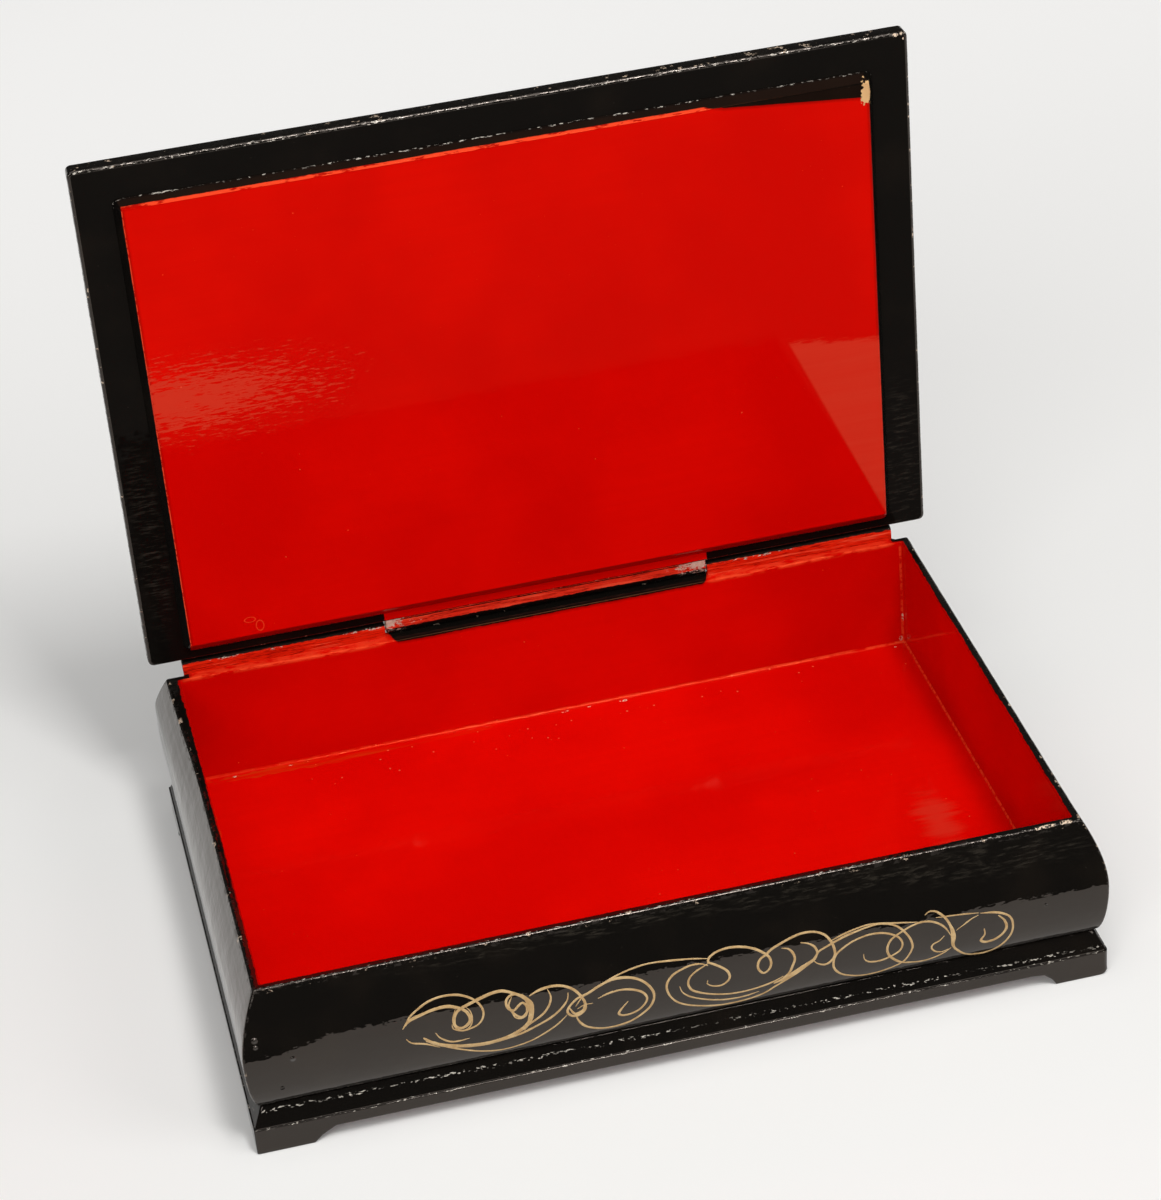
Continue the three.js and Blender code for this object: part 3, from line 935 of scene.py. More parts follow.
def make_wall(side):
    outward, height, rounding, girth = wall_section()
    half_run = SIDES[side][1]
    count = max(8, round(2 * half_run / (2.4 * MM)))
    places = with_turns(np.linspace(-1, 1, count + 1), mitre_turns(6))
    world, local = mitred_points(side, outward, height, rounding, places)
    direction = np.array(OUTWARD[side])
    rows, size = world.shape[:2]
    paint = np.zeros((rows, size))
    light = np.zeros((rows, size))

    # The coat is thin on the rim's outer edge and on the mitres, and the front rim carries painted
    # glints
    past_rim = outward - RIM_THICKNESS
    on_rim = (past_rim > -1.1 * EDGE_ROUND) & (past_rim < 0.6 * MM) & (height > RIM_HEIGHT - 2 * MM)
    at_mitre = np.array([angle > 0.1 for _, angle in places])
    on_mitre = at_mitre[:, None] & ((girth > 1.0) & (rounding > 0))[None, :]
    edge = 0.78 * (on_rim[None, :] | on_mitre)
    on_line = (abs(past_rim + 0.3 * MM) < 0.2 * MM) & (height > RIM_HEIGHT - 0.5 * MM)
    sparkle = np.tile(0.62 * on_line * (side == "front"), (rows, 1))
    for r in range(rows):
        end = half_run - abs(local[r, :, 0])
        for k in range(size):
            if girth[k] > 1.2 and rounding[k] > 0:
                # Slow waves of the hand-planed moulding, dying out at the corners
                fade = min(1.0, max(0.0, end[k] / (5 * MM)))
                world[r, k] -= direction * planed(world[r, k]) * fade
            if rounding[k] > 0:
                world[r, k, 0] -= fuller_corner(world[r, k])
            paint_edge = 0.0
            if side == "back" and rounding[k] > 0:
                x = world[r, k, 0]
                wall_out = world[r, k, 1] - HALF_WIDTH
                world[r, k, 1] += back_ledge(wall_out, world[r, k, 2], x) - wall_out
                # The rim's inner edge sags a little in the middle of its length
                sag = between(x, -0.050, 0.050, 0.030) * smooth((girth[k] + 4) / 3)
                world[r, k, 2] -= RIM_SAG * sag * smooth((0.9 - girth[k]) / 0.8)
                paint_edge = back_paint_edge(x)
                middle = between(x, MIDDLE_START, MIDDLE_END, MM)
                leaf = between(x, HINGE_START, HINGE_END, MM) * (1 - middle)
                # Painted highlight on the ledge under the leaves, brightest on its inner arris, and
                # down the back right corner inside
                arris = smooth((girth[k] + 0.9) / 0.4) * smooth((0.5 - girth[k]) / 0.3)
                light[r, k] = leaf * max(arris, 0.35 * smooth(girth[k] / 0.4))
                if at_mitre[r] and x > 0 and girth[k] < -1:
                    light[r, k] = 0.9
            paint[r, k] = girth[k] - paint_edge - 0.15 + 0.12 * wobble(world[r, k], 0.014, 9.0)
    faces = tube_faces(rows, size)
    red_end = 2.6 if side == "back" else 0.2
    pick = [int(np.mean([girth[v % size] for v in f]) < red_end) for f in faces]
    axis = "x" if side in ("front", "back") else "y"
    add_piece(
        f"{side}_wall_lacquered", world.reshape(-1, 3), faces, [WALL_BLACK[axis], WALL_RED[axis]],
        "box", "black_lacquer", [f"{side}_wall"], pick=pick, sharp=50,
        paint=paint.ravel(), light=light.ravel(), edge=edge.ravel(), sparkle=sparkle.ravel(),
    )


def apron_line(run, half_run, side):
    """Height of a plinth strip's lower edge at a place along it."""
    foot_end = half_run + PLINTH_FACE - FOOT_LENGTH
    if side == "front" and run < 0:
        foot_end -= LONGER_FOOT
    inside = foot_end - abs(run)
    if inside <= 0:
        # The corner at the front right is worn round at the ground
        worn = (side == "front" and run > 0) or (side == "right" and run < 0)
        short = max(0.0, WORN_FOOT - (half_run + PLINTH_FACE - abs(run))) / WORN_FOOT
        return WORN_FOOT * (1 - math.sqrt(1 - min(short, 1.0) ** 2)) if worn else 0.0
    if inside >= COVE_LENGTH:
        return APRON_HEIGHT
    # The cove is a curve that leaves the foot steeply and meets the apron level
    low, high = 0.0, 1.0
    for _ in range(30):
        t = (low + high) / 2
        across = 2 * t * (1 - t) * COVE_LENGTH / 3 + t * t * COVE_LENGTH
        if across < inside:
            low = t
        else:
            high = t
    return APRON_HEIGHT * (1 - (1 - low) ** 2)


def bent(start, control, end, steps):
    """Points on a quadratic curve."""
    places = []
    for t in np.linspace(0, 1, steps + 1):
        shares = (1 - t) ** 2, 2 * t * (1 - t), t * t
        places.append(tuple(
            shares[0] * a + shares[1] * b + shares[2] * c for a, b, c in zip(start, control, end)
        ))
    return places


# Outward distance and height up the ovolo, from the arris to under the belly
OVOLO = bent((0.00622, 0.00663), (0.00553, 0.00805), (0.00489, 0.00945), 12)
OVOLO += bent((0.00482, 0.0096), (0.00448, 0.0104), (0.00415, 0.01085), 8)
OVOLO += bent((0.00410, 0.01090), (0.00395, 0.01105), (0.00365, 0.01120), 4)


def plinth_section():
    """Closed section of a plinth strip: outward, height, rounding and share of the drop."""
    face = PLINTH_FACE
    small = 0.25 * MM
    points = [(PLINTH_SEAT, 0.0, 0, 1.0), (face - small, 0.0, 0.3 * MM, 1.0)]
    foot = arc(face - small, small, small, small, -90, 0, 4)
    points += [(x, z, 0.4 * MM, 1.0) for x, z in foot[1:]]
    for share in (0.8, 0.6, 0.4, 0.2, 0.05):
        points.append((face, small + (ARRIS_HEIGHT - 2 * small) * (1 - share), PLINTH_ROUND, share))
    # A thin raised arris closes the vertical face, then the ovolo rises to the belly
    arris = arc(face - small, ARRIS_HEIGHT - small, small, small, 0, 100, 5)
    points += [(x, z, PLINTH_ROUND, 0.0) for x, z in arris + OVOLO]
    points += [(PLINTH_SEAT, PLINTH_TOP - 0.02 * MM, 0, 0.0), (PLINTH_SEAT, PLINTH_TOP / 2, 0, 0.5)]
    return [np.array(column) for column in zip(*points)]


def make_plinth(side):
    outward, height, rounding, drop = plinth_section()
    half_run = SIDES[side][1]
    foot_end = (half_run + PLINTH_FACE - FOOT_LENGTH) / half_run
    cove_end = foot_end - COVE_LENGTH / half_run
    worn_start = 1 - WORN_FOOT / half_run
    shares = set(np.round(np.linspace(-cove_end, cove_end, max(8, int(half_run / (1.6 * MM)))), 5))
    longer_end = cove_end - LONGER_FOOT / half_run
    for span in ((longer_end, foot_end, 20), (foot_end, worn_start, 5), (worn_start, 1, 8)):
        for sign in (-1, 1):
            shares |= set(np.round(sign * np.linspace(*span), 5))
    places = with_turns(sorted(shares), mitre_turns(5))
    world, local = mitred_points(side, outward, height, rounding, places, worn_corner=2.6)
    rows, size = world.shape[:2]
    sparkle = np.zeros((rows, size))
    on_edge = (drop == 0) & (rounding > 0)
    arris = (abs(height - ARRIS_HEIGHT) < 0.2 * MM) & on_edge
    strength = 1.0 if side == "front" else 0.6
    for r in range(rows):
        for k in range(size):
            # Painted glints on the arris, and along a line that runs down the ovolo from the left
            # to the right
            line = np.interp(local[r, k, 0], (-HALF_LENGTH, HALF_LENGTH), GLINT_HEIGHTS)
            near_line = 1 - abs(height[k] - line) / (0.50 * MM)
            sparkle[r, k] = strength * max(0.62 * arris[k], 1.05 * near_line * on_edge[k], 0.0)
            lift = apron_line(local[r, k, 0], half_run, side)
            world[r, k, 2] += lift * drop[k]
            if drop[k] == 0 and rounding[k] > 0:
                # The arris and the ovolo are a little uneven under the thick lacquer
                world[r, k, 2] += 0.05 * MM * wobble(world[r, k], 0.006, 4.0)
    world[:, :, 2] = np.clip(world[:, :, 2], 0.0, PLINTH_TOP)
    axis = "x" if side in ("front", "back") else "y"
    add_piece(
        f"plinth_{side}_lacquered", world.reshape(-1, 3), tube_faces(rows, size),
        [PLINTH_BLACK[axis]], "box", "black_lacquer", [f"plinth_{side}"], sharp=40,
        paint=np.full(rows * size, 10.0), sparkle=sparkle.ravel(),
    )


def spread(half, step, fine):
    """Grid lines from -1 to 1, closer together near the ends."""
    border = [0, fine, 2 * fine, 4 * fine, 7 * fine]
    ends = [half - b for b in border]
    count = max(2, round(2 * ends[-1] / step))
    middle = list(np.linspace(-ends[-1], ends[-1], count + 1))
    return np.array([-e for e in ends[:-1]] + middle + list(reversed(ends[:-1]))) / half


def rounded_grid(xs, ys, half_x, half_y, corner):
    """Points of a rectangular grid whose outline has round corners."""
    x, y = np.meshgrid(xs * half_x, ys * half_y, indexing="ij")
    a = np.abs(x) - (half_x - corner)
    b = np.abs(y) - (half_y - corner)
    inside = (a > 0) & (b > 0)
    ratio = np.ones_like(x)
    ratio[inside] = np.maximum(a, b)[inside] / np.hypot(a, b)[inside]
    x = np.where(inside, np.sign(x) * (half_x - corner + a * ratio), x)
    y = np.where(inside, np.sign(y) * (half_y - corner + b * ratio), y)
    return x, y


def slab(half_x, half_y, rings, corner, step, fine):
    """Closed slab: a grid on both faces and rings of outline between them.

    rings are (inset, height), from the first face to the last. Returns the
    points, the faces and, for each point, its ring number (0 and the last one
    for the two faces as well).
    """
    xs = spread(half_x, step, fine)
    ys = spread(half_y, step, fine)
    nx, ny = len(xs), len(ys)
    border = [(i, 0) for i in range(nx)] + [(nx - 1, j) for j in range(1, ny)]
    border += [(i, ny - 1) for i in range(nx - 2, -1, -1)]
    border += [(0, j) for j in range(ny - 2, 0, -1)]
    size = len(border)
    grids = []
    for inset, height in rings:
        rounding = max(corner - inset, 0.25 * MM)
        x, y = rounded_grid(xs, ys, half_x - inset, half_y - inset, rounding)
        grids.append((x, y, height))
    points, ring_of = [], []

    def add_point(r, i, j):
        x, y, height = grids[r]
        points.append((x[i, j], y[i, j], height))
        ring_of.append(r)

    for r in range(len(grids)):
        for i, j in border:
            add_point(r, i, j)
    index_first, index_last = {}, {}
    for index, r in ((index_first, 0), (index_last, len(grids) - 1)):
        for number, key in enumerate(border):
            index[key] = r * size + number
        for i in range(nx):
            for j in range(ny):
                if (i, j) not in index:
                    index[(i, j)] = len(points)
                    add_point(r, i, j)
    faces = tube_faces(len(grids), size, caps=False)
    for i in range(nx - 1):
        for j in range(ny - 1):
            quad = [(i, j), (i + 1, j), (i + 1, j + 1), (i, j + 1)]
            faces.append(tuple(index_last[q] for q in quad))
            faces.append(tuple(index_first[q] for q in reversed(quad)))
    return np.array(points), faces, np.array(ring_of)


def make_floor():
    """Floor board with its coat of paint drawn up a little where it meets the walls."""
    edge = FLOOR_EDGE
    fillet = FLOOR_FILLET
    under = FLOOR_HEIGHT - 0.1 * MM
    rings = [(0, FLOOR_BOTTOM), (0, under), (edge + 0.02 * MM, under)]
    for angle in np.linspace(0, 75, 8):
        a = math.radians(angle)
        inset = edge + 0.02 * MM + fillet * (1 - math.cos(a))
        rings.append((inset, FLOOR_HEIGHT + fillet * (1 - math.sin(a)) * 0.72))
    rings.append((edge + 2.2 * fillet, FLOOR_HEIGHT))
    half_x = HALF_LENGTH + edge
    half_y = HALF_WIDTH + edge
    points, faces, ring_of = slab(half_x, half_y, rings, 0.3 * MM, 3.0 * MM, 0.7 * MM)
    light = np.zeros(len(points))
    for k, (x, y, z) in enumerate(points):
        if 4 <= ring_of[k] <= 7:
            # Painted highlight along the fillet, palest along the right side and the right end of
            # the back
            at_back = y > HALF_WIDTH - MM and x > 0.045
            light[k] = 1.0 if x > HALF_LENGTH - MM else 0.8 if at_back else 0.3
        if ring_of[k] >= 3:
            lump = 0.06 * wobble((x, y, z), 0.010, 1.0) + 0.10 * wobble((x, y, z), 0.0030, 6.0)
            share = 1.0 if ring_of[k] < len(rings) - 2 else 0.25
            points[k, 2] += lump * MM * share
    add_piece(
        "floor_board_lacquered", points, faces, [FLOOR_RED], "box", "red_lacquer", ["floor_board"],
        sharp=60, paint=np.full(len(points), -10.0), light=light,
    )


def to_rest(points):
    """Points of the closed lid, given about the hinge axis, at rest."""
    return [lid_place(*p) for p in points]


def make_lid_plate():
    steps = [math.radians(a) for a in (0, 18, 36, 54, 72, 90)]
    r = LID_ROUND
    back = LID_BACK_ROUND
    rings = [(r * (1 - math.sin(a)), LID_INNER + r * (1 - math.cos(a))) for a in steps]
    rings += [(0, (LID_INNER + LID_OUTER) / 2)]
    for a in reversed(steps):
        rings.append((back * (1 - math.sin(a)), LID_OUTER - back * (1 - math.cos(a))))
    half_y = (LID_NEAR - LID_FAR) / 2
    half_x, corner = LID_HALF_X + LID_SPREAD, LID_CORNER + 0.3 * MM
    points, faces, ring_of = slab(half_x, half_y, rings, corner, 2.6 * MM, 0.6 * MM)
    last = len(rings) - 1
    on_edge = (ring_of > 0) & (ring_of < last)
    pick = [int(any(on_edge[v] for v in f)) for f in faces]
    # A line of painted glints along the far edge, broader towards its left end
    line = (ring_of > 0) & (ring_of < 4) & (points[:, 1] < LID_ROUND - half_y)
    sparkle = line * np.interp(points[:, 0], (-0.09, -0.04), (0.85, 0.62))
    for k, (x, y, z) in enumerate(points):
        # The edge at the hinge is hardly rounded
        beside = max(0.0, abs(x) - (LID_HALF_X - 2 * r))
        above = max(0.0, y - (half_y - 2 * r))
        if above > 0:
            share = above / math.hypot(beside, above) * (1 - HINGE_EDGE_ROUND / r)
            inset = rings[ring_of[k]][0]
            if y > half_y - r - 0.01 * MM or on_edge[k]:
                points[k, 1] += inset * share
            near_face = LID_INNER if z < (LID_INNER + LID_OUTER) / 2 else LID_OUTER
            points[k, 2] += (near_face - z) * share * (on_edge[k] and inset > 0)
            x, y, z = points[k]
        if on_edge[k]:
            # Edges planed by hand: they wander inwards a little
            slow, quick = wobble((x, y, 0), 0.040, 3.0), wobble((x, y, z), 0.006, 8.0)
            drawn_in = 0.05 + 0.05 * slow + 0.02 * quick
            points[k, 0] -= np.sign(x) * drawn_in * MM * (abs(x) > LID_HALF_X - 2 * r)
            points[k, 1] -= np.sign(y) * drawn_in * MM * (abs(y) > half_y - 2 * r)
        else:
            sign = 1 if ring_of[k] == 0 else -1
            points[k, 2] += sign * (0.03 + 0.03 * wobble((x, y, z), 0.035, 7.0)) * MM
    points[:, 1] += (LID_NEAR + LID_FAR) / 2
    add_piece(
        "lid_plate_lacquered", to_rest(points), faces, [LID_BLACK, EDGE_BLACK],
        "lid", "black_lacquer", ["lid_plate"], pick=pick, sharp=50,
        paint=np.full(len(points), 10.0), edge=0.8 * on_edge, sparkle=sparkle,
    )


# Black wedge over the panel's face at its far right corner
WEDGE_START = 0.0495
WEDGE_DEPTH = 0.0037


def make_lid_panel():
    """Raised panel: a red face, black bevels on three sides and a red bevel at the hinge."""
    small = 0.45 * MM
    slope = math.atan2(PANEL_BASE - PANEL_FACE, PANEL_BEVEL)
    rings = [(PANEL_BEVEL + small * 0.9, PANEL_FACE), (PANEL_BEVEL + small * 0.5, PANEL_FACE)]
    for share in (0.25, 0.5, 0.75, 1.0):
        a = share * slope
        inset = PANEL_BEVEL + small * 0.45 - small * math.sin(a)
        rings.append((inset, PANEL_FACE + small * (1 - math.cos(a))))
    inset, top = rings[-1]
    for share in (0.1, 0.35, 0.65, 0.9):
        rings.append((inset * (1 - share), top + (PANEL_BASE - 0.25 * MM - top) * share))
    rings += [(0.0, PANEL_BASE - 0.2 * MM), (-0.12 * MM, PANEL_BASE)]
    half_y = (PANEL_NEAR - PANEL_FAR) / 2
    points, faces, ring_of = slab(PANEL_HALF_X, half_y, rings, 1.5 * MM, 2.6 * MM, 0.5 * MM)
    face_x = PANEL_HALF_X - PANEL_BEVEL
    face_y = half_y - PANEL_BEVEL
    paint, shade, light, sparkle = np.zeros((4, len(points)))
    foot = len(rings) - 2
    for k, (x, y, z) in enumerate(points):
        if ring_of[k] == 0:
            points[k, 2] += (0.03 + 0.03 * wobble((x, y, z), 0.040, 11.0)) * MM
        if y > 0:
            # The bevel at the hinge is wider than the others
            widened = (0, PANEL_BEVEL, 8 * MM), (0, HINGE_BEVEL, 8 * MM)
            points[k, 1] = half_y - np.interp(half_y - y, *widened)
            # Painted shade on the bevel at the hinge, which faces down
            shade[k] = 0.75 * (y > face_y + 0.1 * MM)
        # Distance past the face's edge, towards the far side and the two ends
        past_far = -face_y - y
        past_end = abs(x) - face_x
        lip = 0.50 if x < WEDGE_START else 0.36
        black = max(past_far - lip * MM, past_end - 0.15 * MM)
        if x > WEDGE_START:
            into = (x - WEDGE_START) / (PANEL_HALF_X - WEDGE_START)
            black = max(black, into * WEDGE_DEPTH + past_far)
        if y > face_y - 0.3 * MM and past_end < 0.3 * MM:
            black = min(black, past_end - 0.3 * MM)
        paint[k] = black / MM
        # Painted highlight on the top and left arrises of the face, and painted glints along the
        # foot of the far bevel
        at_left = x < -face_x + 0.12 * MM
        at_top = past_far > -0.12 * MM and x < WEDGE_START
        light[k] = 2.5 if 3 <= ring_of[k] <= 6 and (at_top or at_left) else 0.0
        sparkle[k] = 0.95 if ring_of[k] >= foot and past_far > 0.4 * MM else 0.0
    points[:, 1] += (PANEL_NEAR + PANEL_FAR) / 2
    add_piece(
        "lid_panel_lacquered", to_rest(points), faces, [PANEL_RED],
        "lid", "red_lacquer", ["lid_panel"], sharp=60,
        paint=paint, shade=shade, light=light, sparkle=sparkle,
    )


def rolled_section(side, tail_end):
    """Rolled sheet seen from the end: outer line, inner line, and angle at each point."""
    middle = KNUCKLE_RADIUS - SHEET / 2
    tail = [tail_end, 0.8 * tail_end, 0.6 * tail_end, 0.4 * tail_end]
    tail += [h * MM for h in (2.5, 2.3, 2.2, 2.1, 1.9, 1.4, 0.8, 0.3)]
    centre = [(side * middle, -h) for h in tail]
    turns = np.radians(np.linspace(0, ROLL_DEGREES, 42))
    centre += [(side * middle * math.cos(a), middle * math.sin(a)) for a in turns]
    centre = np.array(centre)
    along = np.gradient(centre, axis=0)
    along /= np.linalg.norm(along, axis=1)[:, None]
    normal = np.stack([along[:, 1], -along[:, 0]], axis=1) * side
    thick = np.full(len(centre), SHEET / 2)
    thick[-1] *= 0.6
    thick[0] *= 0.8
    outer = centre + normal * thick[:, None]
    inner = centre - normal * thick[:, None]
    return outer, inner


def make_leaf(node, tail_end, side, paint_of, wear_of, material, body):
    """One hinge leaf, rolled round the pin, with thick uneven paint on it.

    Its tail leaves the roll at the side that is given, -1 in front and 1 behind.
    The lid's leaf is made closed and then turned to rest.
    """
    low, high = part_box(node)
    outer, inner = rolled_section(side, tail_end)
    ring = np.concatenate([outer, inner[::-1]])
    count = len(outer)
    steps = int((high.x - low.x) / (0.8 * MM))
    runs = [low.x, low.x + 0.08 * MM, low.x + 0.3 * MM]
    runs += list(np.linspace(low.x + 1 * MM, high.x - 1 * MM, steps))
    runs += [high.x - 0.3 * MM, high.x - 0.08 * MM, high.x]
    points, paint, wear = [], [], []
    middle = (outer + inner) / 2
    ring_middle = np.concatenate([middle, middle[::-1]])
    for number, x in enumerate(runs):
        shrink = {0: 0.6, len(runs) - 1: 0.6}.get(number, 1.0)
        for k, (a, b) in enumerate(ring):
            ma, mb = ring_middle[k]
            lump = 0.05 * wobble((x, a, b), 0.0035, 13.0) - 0.03 if k < count else 0.0
            scale = shrink * (1 + lump * MM / (SHEET / 2))
            y, z = ma + (a - ma) * scale, mb + (b - mb) * scale
            if body == "lid":
                y, z = z, -y
                place = lid_place(x, y, z)
            else:
                place = HINGE_AXIS + Vector((0, y, z))
                place.x = x
            points.append(place)
            paint.append(paint_of(place))
            wear.append(wear_of(place))
    size = len(ring)
    faces = tube_faces(len(runs), size, caps=False)
    for base, flip in ((0, True), ((len(runs) - 1) * size, False)):
        for k in range(count - 1):
            quad = (base + k, base + k + 1, base + size - 2 - k, base + size - 1 - k)
            faces.append(tuple(reversed(quad)) if flip else quad)
    if side > 0:
        faces = [tuple(reversed(f)) for f in faces]
    add_piece(
        f"{node}_painted", points, faces, [material], body, "hinge_paint", [node],
        sharp=50, paint=paint, wear=wear,
    )


def near(value, centre, reach):
    """1 at a place along the hinge, falling to 0 at a distance from it."""
    return max(0.0, 1 - abs(value - centre) / reach)


def climb(place):
    """Angle up the knuckle's surface from its front, in degrees from 0 to 360."""
    rise, depth = place.z - HINGE_AXIS.z, HINGE_AXIS.y - place.y
    return math.degrees(math.atan2(rise, depth)) % 360


# Wear where the paint is whole. The paint wears off along the knuckle's crest,
# by its ends and at a few places, which are given by x and reach
UNWORN = -0.75


def box_leaf_paint(place):
    """Red below and in front, black over the top and behind."""
    up = climb(place)
    past = min(up - 38, 230 - up)
    return math.radians(past) * KNUCKLE_RADIUS / MM


def left_leaf_wear(place):
    crest = 1 - min(1.0, abs(climb(place) - 32) / 26)
    inner, outer = near(place.x, -0.066, 0.004), near(place.x, -0.078, 0.008)
    return UNWORN + 1.1 * crest * max(near(place.x, -0.043, 0.011), 0.8 * inner, 0.8 * outer)


def right_leaf_wear(place):
    crest = 1 - min(1.0, abs(climb(place) - 28) / 24)
    ends = max(near(place.x, 0.0545, 0.018), 0.8 * near(place.x, 0.0875, 0.003))
    return UNWORN + 1.0 * crest * ends


def lid_leaf_paint(place):
    """Black below, red above, with a crack where the sheet meets the lid."""
    rise = (place.z - HINGE_AXIS.z) / MM
    if place.y > HINGE_AXIS.y + 0.3 * MM:
        return 10.0
    crack = 2.2 + 0.10 * wobble(place, 0.009, 23.0)
    return max(0.1 - rise, 0.50 - 4 * abs(rise - crack))


def lid_leaf_wear(place):
    ends = max(near(place.x, MIDDLE_START, 0.011), near(place.x, MIDDLE_END, 0.014))
    return UNWORN + 1.25 * ends * (1.0 if place.z > HINGE_AXIS.z + 0.5 * MM else 0.6)


def make_pin():
    """Wire through the knuckles, with its cut ends dressed by a file."""
    low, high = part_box("hinge_pin")
    chamfer = 0.15 * MM
    runs = [(low.x, PIN_RADIUS - 2 * chamfer), (low.x + chamfer, PIN_RADIUS - 0.3 * chamfer)]
    runs += [(x, PIN_RADIUS) for x in np.linspace(low.x + 2 * chamfer, high.x - 2 * chamfer, 60)]
    runs += [(high.x - chamfer, PIN_RADIUS - 0.3 * chamfer), (high.x, PIN_RADIUS - 2 * chamfer)]
    sides = 24
    points = []
    for x, radius in runs:
        for a in (2 * math.pi * k / sides for k in range(sides)):
            y, z = radius * math.cos(a), radius * math.sin(a)
            points.append((x, HINGE_AXIS.y + y, HINGE_AXIS.z + z))
    add_piece(
        "hinge_pin_wire", points, tube_faces(len(runs), sides), [WIRE],
        "box", "hinge_wire", ["hinge_pin"], sharp=30,
    )


for wall in SIDES:
    make_wall(wall)
    make_plinth(wall)
make_floor()
make_lid_plate()
make_lid_panel()
make_leaf("hinge_leaf_left", BOX_TAIL_END, -1, box_leaf_paint, left_leaf_wear, HINGE_BOX, "box")
make_leaf("hinge_leaf_right", BOX_TAIL_END, -1, box_leaf_paint, right_leaf_wear, HINGE_BOX, "box")
make_leaf("hinge_leaf_lid", LID_TAIL_END, 1, lid_leaf_paint, lid_leaf_wear, HINGE_LID, "lid")
make_pin()


# Gold scroll on the front: brush strokes, each a few pixels of the photograph
# chosen along its middle, with the stroke's width there in millimetres

STROKE_WIDTH = 1.12
